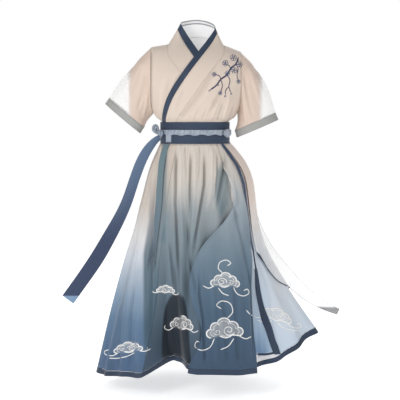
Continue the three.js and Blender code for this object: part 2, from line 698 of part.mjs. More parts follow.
// A ring round the waist, this far outside the waistband
function waistPoint(angle, down, out) {
  const turn = radians(angle);
  const deep = Math.cos(turn) > 0 ? WAIST_FRONT : WAIST_BACK;
  return new THREE.Vector3(
    WAIST_MIDDLE + (WAIST_HALF + out) * Math.sin(turn), -(deep + out) * Math.cos(turn), -down);
}

function waistRing(columns, downs, out, thick) {
  const grid = steps(columns).slice(0, -1).map((k) => {
    const angle = 360 * k - 180;
    return downs(angle).map((down) => waistPoint(angle, down, out));
  });
  return wall(grid, thick, { ring: true });
}

// The skirt: its outline, then its folds, moved in or out along the radius
function wrapAngle(angle) {
  return ((((angle + 180) % 360) + 360) % 360) - 180;
}

function hemDown(angle) {
  return along(HEM, "angle", "down", wrapAngle(angle));
}

function skirtFold(angle, share) {
  let move = 0;
  for (const fold of SKIRT_FOLDS) {
    const middle = mix(fold.top, fold.hem, share);
    const away = Math.abs(wrapAngle(angle - middle)) / fold.half;
    if (away >= 1) continue;
    const grown = clamp((share - fold.from) / (1 - fold.from), 0, 1);
    const pressed = fold.from < PLEAT_FROM ? PLEAT_DEPTH * smooth(0, PLEAT_EASE, share) : 0;
    const size = fold.depth * grown ** FOLD_GROWTH + Math.sign(fold.depth) * pressed * (1 - grown);
    move += size * (1 - away ** fold.flat) ** 2;
  }
  return move;
}

function skirtRing(angle, down, move) {
  const turn = radians(angle);
  const left = along(SKIRT, "down", "left", down);
  const right = along(SKIRT, "down", "right", down);
  const deep = along(SKIRT, "down", Math.cos(turn) > 0 ? "front" : "back", down);
  const wide = Math.sin(turn) > 0 ? right - WAIST_MIDDLE : WAIST_MIDDLE - left;
  return new THREE.Vector3(
    WAIST_MIDDLE + (wide + move) * Math.sin(turn), -(deep + move) * Math.cos(turn), -down);
}

function skirtPoint(angle, down) {
  const share = clamp((down - WAIST_BOTTOM) / (hemDown(angle) - WAIST_BOTTOM), 0, 1);
  return skirtRing(angle, down, skirtFold(angle, share));
}

function skirtNormal(angle, down) {
  return surfaceNormal(skirtPoint, angle, down, SKIRT_PROBE);
}

// A point moved out from the skirt along the cloth's own normal
function offSkirt(angle, down, out) {
  return skirtPoint(angle, down).addScaledVector(skirtNormal(angle, down), out);
}

// Rows of a panel's cloth at one angle, from the hem up
function panelRows(angle) {
  const hem = hemDown(angle) - HEM_BAND - 2 * SEAM;
  return steps(SKIRT_ROWS).map((k) => mix(hem, WAIST_BOTTOM + SEAM, k ** SKIRT_CROWD));
}

// A stretch of the skirt's cloth between two heights at each angle
function skirtCloth(angles, downs, thick) {
  const grid = angles.map((angle) => downs(angle).map((down) => skirtPoint(angle, down)));
  const normals = angles.map((angle) => downs(angle).map((down) => skirtNormal(angle, down)));
  return wall(grid, thick, { normals });
}

function skirtPanel(panel) {
  const angles = steps(panel.columns).map((k) =>
    mix(panel.from + SEAM_ANGLE, panel.to - SEAM_ANGLE, k));
  const body = skirtCloth(angles, panelRows, CLOTH);
  add(panel.name, body, { color: panel.colour, roughness: 0.8, metalness: 0 });
  const band = skirtCloth(angles, (angle) => {
    const hem = hemDown(angle);
    return [hem, hem - HEM_BAND];
  }, BINDING);
  add(panel.name.replace("skirt", "hem"), band, NAVY);
}

// The front wrap panel lies outside the ring, with soft folds of its own
function wrapPoint(share, down) {
  const left = along(WRAP, "down", "left", down);
  const right = along(WRAP, "down", "right", down);
  const x = mix(left, right, share);
  const wide = along(SKIRT, "down", "right", down) - WAIST_MIDDLE;
  const angle = (Math.asin(clamp((x - WAIST_MIDDLE) / wide, -1, 1)) * 180) / Math.PI;
  const grown = smooth(WAIST_BOTTOM, WRAP_FOLDS_FULL, down);
  let rise = 0;
  for (const fold of WRAP_FOLDS) {
    const away = Math.abs(share - fold.at) / fold.half;
    if (away < 1) rise += fold.rise * grown * (1 - away * away) ** 2;
  }
  const out = mix(CLOTH + 2 * SEAM, WRAP_OUT, smooth(WAIST_BOTTOM, WRAP_EASED, down));
  return skirtRing(angle, down, out + Math.max(rise, WRAP_DEEPEST));
}

function wrapPanel() {
  const lowest = WRAP[WRAP.length - 1].down;
  const top = WRAP[0].down;
  const hem = (u) => lowest - WRAP_HEM_LIFT * (1 - u) ** 2;
  const columns = steps(WRAP_COLUMNS);
  const body = columns.map((u) => steps(WRAP_ROWS).map((k) =>
    wrapPoint(u, mix(hem(u) - HEM_BAND - SEAM, top, k))));
  add("skirt_wrap", wall(body, CLOTH), { color: 0x4a6580, roughness: 0.75, metalness: 0 });
  const band = columns.map((u) => [hem(u), hem(u) - HEM_BAND].map((down) =>
    wrapPoint(u, down)));
  add("hem_wrap", wall(band, BINDING), NAVY);
}

// The overlay follows the skirt at a layer's distance, down to its curved edge
function overlayPoint(share, rise) {
  const low = along(OVERLAY_LOW, "share", "down", share);
  const down = mix(low, OVERLAY[0].down, rise);
  const front = along(OVERLAY, "down", "front", down);
  const back = along(OVERLAY, "down", "back", down);
  const angle = mix(front, back, share);
  const out = mix(OVERLAY_TOP_OUT, OVERLAY_OUT, smooth(WAIST_BOTTOM, OVERLAY_EASED, down));
  return offSkirt(angle, down, out);
}

function overlayParts() {
  const body = steps(OVERLAY_COLUMNS).map((u) => steps(OVERLAY_ROWS).map((k) =>
    overlayPoint(mix(OVERLAY_RIM, 1, u), mix(OVERLAY_RIM, 1, k))));
  add("overlay", wall(body, SHEER), CREAM);
}

// A point of a panel's flat faces, between its columns and rows
function facePoint(panel, angle, down) {
  const column = (index) => {
    const at = mix(panel.from, panel.to, index / panel.columns);
    const rows = panelRows(at);
    let k = 0;
    while (k < SKIRT_ROWS - 1 && down < rows[k + 1]) k += 1;
    const share = (down - rows[k]) / (rows[k + 1] - rows[k]);
    return skirtPoint(at, rows[k]).lerp(skirtPoint(at, rows[k + 1]), share);
  };
  const place = ((angle - panel.from) / (panel.to - panel.from)) * panel.columns;
  const index = clamp(Math.floor(place), 0, panel.columns - 1);
  return column(index).lerp(column(index + 1), place - index);
}

// A ribbon that lies on a panel, made from the panel's own faces moved out. Its top is
// moved out further where it passes over the wrap panel.
function layRibbon(name, table, panel, topOut, laidOut, finish) {
  const first = table[0].down;
  const last = table[table.length - 1].down;
  const face = (angle, down) => facePoint(panel, angle, down);
  const grid = steps(RIBBON_COLUMNS).map((u) => steps(RIBBON_ROWS).map((k) => {
    const down = mix(last, first, k);
    const half = along(table, "down", "half", down);
    const angle = along(table, "down", "angle", down) + mix(-half, half, u);
    const laid = smooth(first + RIBBON_LEAVES, first + RIBBON_LIES, down);
    const normal = surfaceNormal(face, angle, down, RIBBON_PROBE);
    return face(angle, down).addScaledVector(normal, mix(topOut, laidOut, laid));
  }));
  add(name, wall(grid, CLOTH), finish);
}

// A ribbon that flies free, turned about its middle line
function flyRibbon(name, table, thick, finish) {
  const rows = steps(FLY_ROWS).map((k) => mix(table.length - 1, 0, k));
  const middle = (position) => new THREE.Vector3(
    between(table, "x", position), between(table, "y", position),
    -between(table, "down", position));
  const grid = [-0.5, 0, 0.5].map((side) => rows.map((position) => {
    const here = middle(position);
    const above = middle(Math.max(position - FLY_REACH, 0));
    const run = above.sub(middle(position + FLY_REACH)).normalize();
    const across = new THREE.Vector3(0, -1, 0).cross(run).normalize().negate();
    const turn = radians(between(table, "turn", position));
    across.applyAxisAngle(run, turn);
    const wide = between(table, "wide", position);
    const cup = new THREE.Vector3().crossVectors(across, run)
      .multiplyScalar(side === 0 ? CUP * clamp(position, 0, 1) : 0);
    return here.addScaledVector(across, side * wide).add(cup);
  }));
  add(name, wall(grid, thick), finish);
}

// A knot: a squashed bundle with the dips of its wraps
function knot(place) {
  const geometry = new THREE.SphereGeometry(1, KNOT_COLUMNS, KNOT_ROWS);
  geometry.deleteAttribute("normal");
  geometry.deleteAttribute("uv");
  const centre = waistPoint(place.angle, place.down, SASH_OUT + place.deep + SEAM);
  const turn = new THREE.Matrix4().makeRotationZ(radians(place.angle));
  const points = geometry.getAttribute("position");
  for (let k = 0; k < points.count; k += 1) {
    const p = new THREE.Vector3().fromBufferAttribute(points, k);
    const wraps = Math.cos(KNOT_WRAPS * Math.atan2(p.z, p.x)) * Math.hypot(p.x, p.z);
    const dip = 1 - KNOT_DIP * wraps;
    p.set(p.x * place.wide * dip, p.y * place.deep, p.z * place.tall * dip);
    p.applyMatrix4(turn).add(centre);
    points.setXYZ(k, p.x, p.y, p.z);
  }
  add(place.name, geometry, PALE);
}

// The loop of the bow: a short hollow ring of ribbon beside its knot
function bowLoop() {
  const centre = waistPoint(BOW.angle, BOW.down, SASH_OUT + BOW.wide + SEAM);
  const grid = steps(BOW_COLUMNS).slice(0, -1).map((k) => {
    const turn = 2 * Math.PI * k;
    return [-1, 1].map((side) => centre.clone().add(new THREE.Vector3(
      BOW.wide * Math.sin(turn), side * BOW.deep, BOW.tall * Math.cos(turn))));
  });
  add("bow_loop", wall(grid, BOW.thick, { ring: true }), PALE);
}

add("front_under", frontPanel(false), CREAM);
add("front_over", frontPanel(true), CREAM);
add("back", backPanel(), CREAM);
for (const sleeve of SLEEVES) sleeveParts(sleeve);
add("collar_band", collarStrip(NAVY_SHARE + NAVY_GAP, 1, 3, CLOTH), CREAM);
add("collar_edge", collarStrip(0, NAVY_SHARE, 1, CLOTH), NAVY);

const WAIST_ROWS = [WAIST_BOTTOM, (WAIST_BOTTOM + WAIST_TOP) / 2, WAIST_TOP];
add("waistband", waistRing(WAIST_COLUMNS, () => WAIST_ROWS, 0, BINDING), NAVY);
add("sash", waistRing(SASH_COLUMNS, (angle) => {
  const wave = SASH_WAVE * Math.cos(radians(angle * SASH_WAVES));
  return [SASH_TOP + SASH_HEIGHT + wave, SASH_TOP];
}, SASH_OUT, SASH_THICK), PALE);
for (const place of KNOTS) knot(place);
bowLoop();

for (const panel of PANELS) skirtPanel(panel);
wrapPanel();
overlayParts();
const [rightSide, , leftSide] = PANELS;
layRibbon("ribbon_teal", TEAL_RIBBON, rightSide, RIBBON_OUT, RIBBON_OUT, TEAL);
layRibbon("ribbon_pale", PALE_RIBBON, leftSide, RIBBON_OUT + CLOTH + 1, RIBBON_OUT, PALE);
layRibbon("ribbon_navy", NAVY_RIBBON, leftSide, NAVY_RIBBON_OUT, NAVY_RIBBON_OUT, NAVY);
flyRibbon("tail_navy", NAVY_TAIL, CLOTH, NAVY);
flyRibbon("tail_sheer", SHEER_TAIL, SHEER, ORGANZA);

export default group;
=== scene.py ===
# %% [markdown]
# A women's hanfu, filled out as it is worn. The top crosses over at the front, its short
# sleeves fade to sheer organza, and the long wrap skirt is dyed from cream to deep blue.
# The fixed frame holds every piece as a plain wall at its real size. This script turns each
# wall into soft cloth in the same place, and adds the sewing, the knots and the embroidery.

# %% Load the frame
import math

import bmesh
import bpy
import numpy as np
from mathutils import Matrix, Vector
from mathutils.bvhtree import BVHTree
from mathutils.kdtree import KDTree


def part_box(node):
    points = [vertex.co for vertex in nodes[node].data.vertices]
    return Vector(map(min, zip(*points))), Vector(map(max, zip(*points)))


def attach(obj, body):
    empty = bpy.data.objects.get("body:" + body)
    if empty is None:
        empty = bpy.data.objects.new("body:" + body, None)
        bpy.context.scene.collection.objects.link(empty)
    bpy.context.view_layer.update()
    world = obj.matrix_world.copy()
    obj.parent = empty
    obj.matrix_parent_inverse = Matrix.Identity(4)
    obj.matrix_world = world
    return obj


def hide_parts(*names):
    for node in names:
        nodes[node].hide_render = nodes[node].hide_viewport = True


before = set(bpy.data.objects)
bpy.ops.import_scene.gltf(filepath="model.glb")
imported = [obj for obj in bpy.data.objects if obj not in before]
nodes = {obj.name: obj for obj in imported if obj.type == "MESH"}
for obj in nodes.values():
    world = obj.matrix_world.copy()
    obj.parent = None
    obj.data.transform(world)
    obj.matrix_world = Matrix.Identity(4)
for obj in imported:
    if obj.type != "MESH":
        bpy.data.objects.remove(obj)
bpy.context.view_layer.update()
print("pieces in the frame:", len(nodes))

# %% [markdown]
# The photograph was taken straight from the front, from a little below the neck. Most of the
# drawn shapes below are laid out on a flat sheet of paper through the shoulders, in
# millimetres across and down from the neck base, as they are seen from there. EYE is the
# place that they are seen from, and sight() carries a point of the cloth onto that paper.

# %% Measures that everything shares
MM = 0.001
TAU = 2 * math.pi
EYE = np.array([0.0, -4.5, -0.25])
AXIS_X = -0.004
WAIST_TOP = 350
WAIST_LOW = 434
HEM = 1300


def smooth(low, high, value):
    """A soft step from 0 at low to 1 at high."""
    t = np.clip((value - low) / (high - low), 0, 1)
    return t * t * (3 - 2 * t)


def sight(points, behind=False):
    """Where points of the cloth are seen on the paper: millimetres across and down."""
    depth = -points[:, 1] if behind else points[:, 1]
    scale = -EYE[1] / (depth - EYE[1])
    across = points[:, 0] * scale
    down = -(EYE[2] + (points[:, 2] - EYE[2]) * scale)
    return np.stack([across, down], 1) / MM


def around(points):
    """Angle round the body in degrees: 0 at the front and 90 at the wearer's left."""
    return np.degrees(np.arctan2(points[:, 0] - AXIS_X, -points[:, 1]))


def outwards(points):
    """The level way from the body's axis to each point, with length 1."""
    out = points - [AXIS_X, 0, 0]
    out[:, 2] = 0
    return out / np.linalg.norm(out, axis=1)[:, None]


def run_of(points):
    """How far along a row of points each one is."""
    return np.concatenate([[0], np.cumsum(np.linalg.norm(np.diff(points, axis=0), axis=1))])


def hill(away):
    """A soft hill, which is 1 where away is 0, and 0 where away is 1 or more."""
    return (1 + np.cos(np.pi * np.clip(away, 0, 1))) / 2


# %% [markdown]
# Each wall of the frame has an outer side, an inner side and narrow rims. Cloth is easier to
# shape as one sheet, so a copy of the wall is merged, its rims are found by their width, which
# is the wall's thickness, and only the outer side is kept. Its triangles are turned back into
# quads, and a Subdivision Surface rounds them. The other way would be to model each panel
# afresh, but a copy is sure to lie exactly where the frame says.

# %% From a wall to a sheet
MERGE = 0.01 * MM
RIM_MATCH = 0.01


def pick_only(obj):
    """Makes obj the only selected and the active object."""
    if bpy.context.mode != "OBJECT":
        bpy.ops.object.mode_set(mode="OBJECT")
    bpy.ops.object.select_all(action="DESELECT")
    obj.select_set(True)
    bpy.context.view_layer.objects.active = obj


def linked(name, data):
    """A new object in the scene that shows this data."""
    obj = bpy.data.objects.new(name, data)
    bpy.context.collection.objects.link(obj)
    return obj


def modified(obj, kind, **settings):
    """Adds a modifier with these settings and applies it."""
    pick_only(obj)
    modifier = obj.modifiers.new("shape", kind)
    for key, value in settings.items():
        setattr(modifier, key, value)
    bpy.ops.object.modifier_apply(modifier=modifier.name)


def islands(mesh):
    """The faces of an edit mesh, grouped by what hangs together."""
    seen = set()
    groups = []
    for start in mesh.faces:
        if start in seen:
            continue
        seen.add(start)
        stack = [start]
        group = []
        while stack:
            face = stack.pop()
            group.append(face)
            for edge in face.edges:
                for other in edge.link_faces:
                    if other not in seen:
                        seen.add(other)
                        stack.append(other)
        groups.append(group)
    return groups


def facing_out(faces, tube):
    """How much these faces look away from the body's axis, or from a tube's own middle."""
    middle = Vector((AXIS_X, 0, 0))
    if tube:
        middle = sum((face.calc_center_median() for face in faces), Vector()) / len(faces)
    total = 0.0
    for face in faces:
        away = face.calc_center_median() - middle
        if not tube:
            away.z = 0
        total += face.calc_area() * face.normal.dot(away.normalized())
    return total


def outer_sheet(node, thick, levels, tube=False):
    """The outer side of a frame wall, as a smooth sheet of quads."""
    obj = linked("cloth_" + node, nodes[node].data.copy())
    obj.data.materials.clear()
    pick_only(obj)
    bpy.ops.object.mode_set(mode="EDIT")
    bpy.ops.mesh.select_all(action="SELECT")
    bpy.ops.mesh.remove_doubles(threshold=MERGE)
    bpy.ops.mesh.select_all(action="DESELECT")
    mesh = bmesh.from_edit_mesh(obj.data)
    for face in mesh.faces:
        rim = any(abs(edge.calc_length() - thick) < RIM_MATCH * thick for edge in face.edges)
        face.select_set(rim)
    bpy.ops.mesh.delete(type="FACE")
    mesh = bmesh.from_edit_mesh(obj.data)
    groups = sorted(islands(mesh), key=lambda faces: facing_out(faces, tube))
    for face in mesh.faces:
        face.select_set(False)
    for group in groups[:-1]:
        for face in group:
            face.select_set(True)
    bpy.ops.mesh.delete(type="FACE")
    bpy.ops.mesh.select_all(action="SELECT")
    bpy.ops.mesh.tris_convert_to_quads(
        face_threshold=math.pi, shape_threshold=math.pi, topology_influence=2.0)
    bpy.ops.object.mode_set(mode="OBJECT")
    modified(obj, "SUBSURF", levels=levels, render_levels=levels, boundary_smooth="PRESERVE_CORNERS")
    bpy.ops.object.shade_smooth()
    return obj


def read(rows, key, wide=3):
    """One value of every row of mesh data, with wide numbers each."""
    flat = np.empty(len(rows) * wide)
    rows.foreach_get(key, flat)
    return flat.reshape(-1, wide)


def places(obj):
    """The points of a mesh as rows of three numbers."""
    return read(obj.data.vertices, "co")


def put(obj, points):
    """Moves the points of a mesh to new places."""
    obj.data.vertices.foreach_set("co", points.ravel())
    obj.data.update()


def normals(obj):
    """The normals of a mesh's points."""
    return read(obj.data.vertex_normals, "vector")


def note(obj, name, values):
    """Keeps one number for each point, for a material to read."""
    attribute = obj.data.attributes.get(name) or obj.data.attributes.new(name, "FLOAT", "POINT")
    attribute.data.foreach_set("value", np.asarray(values, np.float32))


def border(obj):
    """The edges of a sheet that have one face, as pairs of points."""
    uses = {}
    for face in obj.data.polygons:
        for key in face.edge_keys:
            uses[key] = uses.get(key, 0) + 1
    return [key for key, count in uses.items() if count == 1]


def note_rim(obj, step=MM):
    """Notes each point's distance from the sheet's nearest edge, in metres."""
    points = places(obj)
    samples = []
    for a, b in border(obj):
        count = max(2, int(np.linalg.norm(points[b] - points[a]) / step))
        for share in np.linspace(0, 1, count):
            samples.append(points[a] * (1 - share) + points[b] * share)
    tree = KDTree(len(samples))
    for index, sample in enumerate(samples):
        tree.insert(sample, index)
    tree.balance()
    note(obj, "rim", [tree.find(point)[2] for point in points])


# %% [markdown]
# Folds are what make a wall read as cloth. Each one is a line drawn on the paper or round the
# body, with a width, a height and ends that fade, and all are a little different.
# Pieces that meet are moved by the same folds in the same direction, so their seams stay shut.

# %% Fold helpers
def near_line(spots, line):
    """Distance of each spot from a bent line, and the share of the line where it is nearest."""
    line = np.array(line, float)
    starts = run_of(line)
    best = np.full(len(spots), np.inf)
    share = np.zeros(len(spots))
    for k, length in enumerate(np.diff(starts)):
        run = line[k + 1] - line[k]
        t = np.clip(((spots - line[k]) @ run) / length**2, 0, 1)
        away = np.linalg.norm(spots - line[k] - t[:, None] * run, axis=1)
        closer = away < best
        best[closer] = away[closer]
        share[closer] = ((starts[k] + t * length) / starts[-1])[closer]
    return best, share


def drawn_folds(points, table, behind=False):
    """The sum of the folds drawn on the paper, at each point of the cloth."""
    spots = sight(points, behind)
    total = np.zeros(len(points))
    for line, half, rise, (begin, end) in table:
        away, share = near_line(spots, line)
        ends = smooth(0, begin, share) * smooth(0, end, 1 - share)
        total += rise * ends * hill(away / half)
    return total


def fold(line, half, rise, fade=(0.3, 0.1)):
    """A fold's line, half width and height, and the share of it that fades at each end."""
    return line, half, rise, fade


# %% [markdown]
# The top is a soft matt weave. It is smooth over the shoulders, hangs in long diagonal folds
# from the crossing, and blouses over the waistband in short uneven gathers.

# %% Folds of the top
# Depths between which the folds of the front, and those of the back, grow to their full height.
AHEAD = (0.01, -0.03)
AFTER = (-0.01, 0.03)
TOP_FRONT = [
    fold([(-176, 60), (-180, 190), (-176, 330)], 12, -4.5, (0.1, 0.2)),
    fold([(-196, 70), (-204, 200), (-196, 330)], 16, 4.0, (0.2, 0.3)),
    fold([(176, 90), (186, 200), (172, 330)], 14, -3.5, (0.15, 0.25)),
    fold([(-60, 120), (-96, 200), (-130, 330)], 24, 3.5, (0.3, 0.3)),
    fold([(-118, 130), (-140, 230), (-138, 340)], 20, 4.0, (0.3, 0.3)),
    fold([(-96, 150), (-118, 250), (-150, 345)], 16, -4.0, (0.3, 0.25)),
    fold([(-40, 205), (-66, 255), (-84, 318)], 13, -2.5, (0.3, 0.3)),
    fold([(96, 110), (20, 230), (-66, 345)], 15, -4.0),
    fold([(120, 110), (54, 220), (-30, 345)], 17, 4.5, (0.3, 0.15)),
    fold([(130, 170), (84, 260), (24, 346)], 14, -4.0),
    fold([(70, 262), (44, 318), (30, 348)], 9, 4.0),
    fold([(98, 250), (74, 310), (58, 348)], 9, 4.5),
    fold([(112, 268), (92, 320), (84, 348)], 8, -4.0),
    fold([(138, 240), (122, 300), (108, 348)], 11, 5.0),
    fold([(150, 280), (140, 318), (124, 346)], 9, -4.0),
    fold([(0, 290), (-8, 322), (-14, 348)], 8, 3.0, (0.4, 0.1)),
    fold([(-104, 296), (-112, 326), (-116, 348)], 8, 3.0, (0.4, 0.1)),
    fold([(150, 120), (160, 180), (148, 250)], 18, 3.5, (0.3, 0.4)),
]
TOP_BEHIND = [
    fold([(-176, 60), (-180, 190), (-170, 330)], 13, -4.0, (0.1, 0.2)),
    fold([(176, 80), (184, 200), (170, 330)], 13, -4.0, (0.1, 0.2)),
    fold([(-120, 110), (-104, 230), (-84, 345)], 20, 4.0),
    fold([(-140, 200), (-128, 280), (-112, 345)], 13, -4.5),
    fold([(-50, 200), (-46, 280), (-38, 346)], 12, -3.0, (0.4, 0.1)),
    fold([(-20, 150), (-14, 260), (-6, 346)], 17, 3.5, (0.4, 0.1)),
    fold([(30, 230), (28, 290), (24, 346)], 10, -4.0, (0.4, 0.1)),
    fold([(66, 180), (60, 270), (50, 346)], 15, 4.0),
    fold([(112, 130), (104, 240), (86, 346)], 19, -3.5),
    fold([(136, 220), (128, 290), (112, 346)], 12, 4.5),
]


def fold_top(obj):
    """Moves the cloth of the top forwards and backwards by its folds."""
    points = places(obj)
    front = drawn_folds(points, TOP_FRONT) * smooth(*AHEAD, points[:, 1])
    back = drawn_folds(points, TOP_BEHIND, behind=True) * smooth(*AFTER, points[:, 1])
    note(obj, "fold", front + back)
    points[:, 1] += (back - front) * MM
    put(obj, points)


# %% [markdown]
# The skirt hangs in long soft pleats that open towards the hem. Those of the front follow the
# photograph. The sides and the back, which it hides, get similar ones. Under the waistband the
# cloth is gathered finely. Skirt, wrap, overlay, ribbons and bindings all move straight out
# from the body by the same amount, so that what lies on a panel stays on it.

# %% Folds of the skirt
SKIRT_FRONT = [
    fold([(-80, 440), (-84, 676), (-66, 1048)], 10, -10, (0.14, 0.3)),
    fold([(-104, 440), (-112, 700), (-104, 1100), (-100, 1300)], 15, 7, (0.04, 0.1)),
    fold([(-60, 440), (-62, 640), (-42, 960)], 13, 6, (0.05, 0.4)),
    fold([(-20, 440), (-24, 608), (-22, 760)], 8, -8, (0.3, 0.5)),
    fold([(-2, 440), (-8, 640), (-24, 860), (-30, 1010)], 13, 6, (0.1, 0.3)),
    fold([(36, 440), (34, 600), (0, 800), (-20, 930)], 10, -10, (0.24, 0.3)),
    fold([(62, 440), (60, 620), (34, 760)], 13, 6, (0.1, 0.4)),
    fold([(88, 440), (86, 560), (72, 690)], 8, -6, (0.3, 0.4)),
    fold([(118, 446), (122, 520), (106, 580), (80, 720)], 13, -10, (0.3, 0.3)),
    fold([(140, 520), (150, 640), (140, 760)], 13, 6, (0.3, 0.4)),
    fold([(-44, 440), (-42, 520), (-34, 600)], 6, -4, (0.1, 0.5)),
    fold([(14, 440), (14, 530), (6, 640)], 6, -4, (0.1, 0.5)),
    fold([(-40, 700), (-24, 900), (-2, 1020), (6, 1090)], 11, -7, (0.3, 0.3)),
    fold([(-92, 900), (-84, 980), (-80, 1060)], 9, -6, (0.4, 0.3)),
    fold([(-150, 440), (-176, 700), (-182, 1000), (-178, 1240)], 11, -8, (0.05, 0.2)),
    fold([(-176, 470), (-214, 700), (-236, 1000), (-232, 1330)], 18, 7, (0.1, 0.05)),
    fold([(-200, 560), (-262, 860), (-300, 1040), (-316, 1350)], 13, -8, (0.3, 0.05)),
    fold([(-230, 700), (-300, 960), (-352, 1200), (-370, 1350)], 15, 6, (0.3, 0.05)),
    fold([(-200, 800), (-262, 1100), (-270, 1350)], 11, -6),
    fold([(120, 560), (180, 800), (222, 1010), (236, 1280)], 12, -7, (0.2, 0.1)),
    fold([(190, 760), (240, 980), (262, 1290)], 13, 6),
    fold([(210, 820), (290, 1010), (330, 1260)], 14, -8),
    fold([(230, 860), (350, 1050), (410, 1230)], 18, 7),
    fold([(250, 900), (380, 1050), (470, 1190)], 12, -6),
    fold([(60, 900), (70, 1060), (84, 1330)], 18, 6, (0.4, 0.1)),
    fold([(16, 920), (14, 1040), (30, 1150), (36, 1330)], 10, -9),
    fold([(-106, 800), (-96, 944), (-86, 1050)], 6, -8, (0.3, 0.3)),
    fold([(150, 880), (160, 1060), (172, 1330)], 17, -7, (0.4, 0.1)),
    fold([(200, 860), (206, 1080), (216, 1330)], 14, 6, (0.4, 0.1)),
    fold([(100, 980), (120, 1150), (128, 1330)], 14, -5, (0.4, 0.1)),
]
# Each pleat: its angle at the waist and at the hem, its half width, its height and its start.
PLEATS = [
    (-72, -66, 5.0, -6, 0.02), (-84, -79, 6.0, 7, 0.1), (-92, -89, 4.0, -6, 0.0),
    (-103, -100, 6.5, 7, 0.05), (-113, -112, 4.5, -8, 0.0), (-122, -122, 5.0, 6, 0.2),
    (-131, -134, 5.5, -7, 0.0), (-142, -145, 6.0, 8, 0.05), (-151, -153, 4.0, -7, 0.0),
    (-160, -164, 5.5, 6, 0.15), (-170, -172, 5.0, -8, 0.0), (-180, -181, 6.0, 7, 0.1),
    (169, 169, 4.5, -7, 0.0), (159, 158, 6.0, 8, 0.05), (149, 149, 4.5, -6, 0.0),
    (139, 138, 6.0, 7, 0.2), (129, 129, 5.0, -8, 0.0), (119, 118, 6.0, 6, 0.1),
    (109, 109, 4.5, -7, 0.0), (99, 99, 6.0, 7, 0.1), (90, 91, 4.0, -6, 0.05),
    (80, 84, 6.0, 6, 0.2), (71, 75, 4.5, -5, 0.1),
]
PLEAT_GROWS = 0.25
# The folds of the front grow between these depths, and give way to pleats between these angles.
SEEN = (0.02, -0.03)
ROUND = (52, 66)
SIDE_CALM = 0.6
GATHER_RISE = 1.5
GATHER_START = 10
GATHER_REACH = 70
# How strongly the gathers paint shade and light into the skirt's colour.
GATHER_SHADE = 2
GATHERS = [(61, 0.0), (97, 1.3), (43, 2.2)]


def skirt_rise(points):
    """How far the skirt's folds and gathers push its cloth out, in millimetres."""
    angle = around(points)
    below = -points[:, 2] / MM - WAIST_LOW
    share = np.clip(below / (HEM - WAIST_LOW), 0, 1)
    hidden = smooth(*ROUND, np.abs(angle))
    folds = drawn_folds(points, SKIRT_FRONT) * smooth(*SEEN, points[:, 1]) * (1 - SIDE_CALM * hidden)
    for top, low, half, rise, start in PLEATS:
        away = np.abs((angle - top - (low - top) * share + 180) % 360 - 180) / half
        folds += rise * smooth(start, start + PLEAT_GROWS, share) * hidden * hill(away)
    wave = sum(np.sin(np.radians(angle) * count + turn) for count, turn in GATHERS) / len(GATHERS)
    fading = smooth(0, GATHER_START, below) * np.exp(-below / GATHER_REACH)
    return folds, GATHER_RISE * wave * fading


def fold_skirt(obj):
    """Moves the cloth of the skirt straight out from the body by its folds."""
    points = places(obj)
    folds, gathers = skirt_rise(points)
    note(obj, "fold", folds + GATHER_SHADE * gathers)
    put(obj, points + outwards(points) * ((folds + gathers) * MM)[:, None])


# %% [markdown]
# A finish is built from small parts. Socket wraps one output of a node, so that shader maths
# reads as plain sums, and Finish holds one material and makes every other node. Dyed colours
# are written as they look to the eye, from 0 to 255, and turned into light here.

# %% Shader helpers
class Socket:
    """One value in a material, which can be added, multiplied and so on."""

    def __init__(self, finish, output):
        self.finish = finish
        self.output = output

    def sum(self, operation, *values):
        """The result of a sum on these values."""
        made = self.finish.node("ShaderNodeMath", {"operation": operation}, dict(enumerate(values)))
        return Socket(self.finish, made.outputs[0])

    def sine(self):
        return self.sum("SINE", self)

    def __add__(self, other):
        return self.sum("ADD", self, other)

    __radd__ = __add__

    def __sub__(self, other):
        return self.sum("SUBTRACT", self, other)

    def __rsub__(self, other):
        return self.sum("SUBTRACT", other, self)

    def __mul__(self, other):
        return self.sum("MULTIPLY", self, other)

    def __truediv__(self, other):
        return self.sum("DIVIDE", self, other)

    def step(self, low, high):
        """A soft step from 0 at low to 1 at high, of this value."""
        sockets = {"Value": self, "From Min": low, "From Max": high}
        settings = {"interpolation_type": "SMOOTHSTEP"}
        return self.finish.take("ShaderNodeMapRange", "Result", settings, sockets)


def dye(red, green, blue):
    """A colour as the eye sees it, as the light that a material wants."""
    light = []
    for value in (red, green, blue):
        share = value / 255
        light.append(share / 12.92 if share <= 0.04045 else ((share + 0.055) / 1.055) ** 2.4)
    return (*light, 1.0)


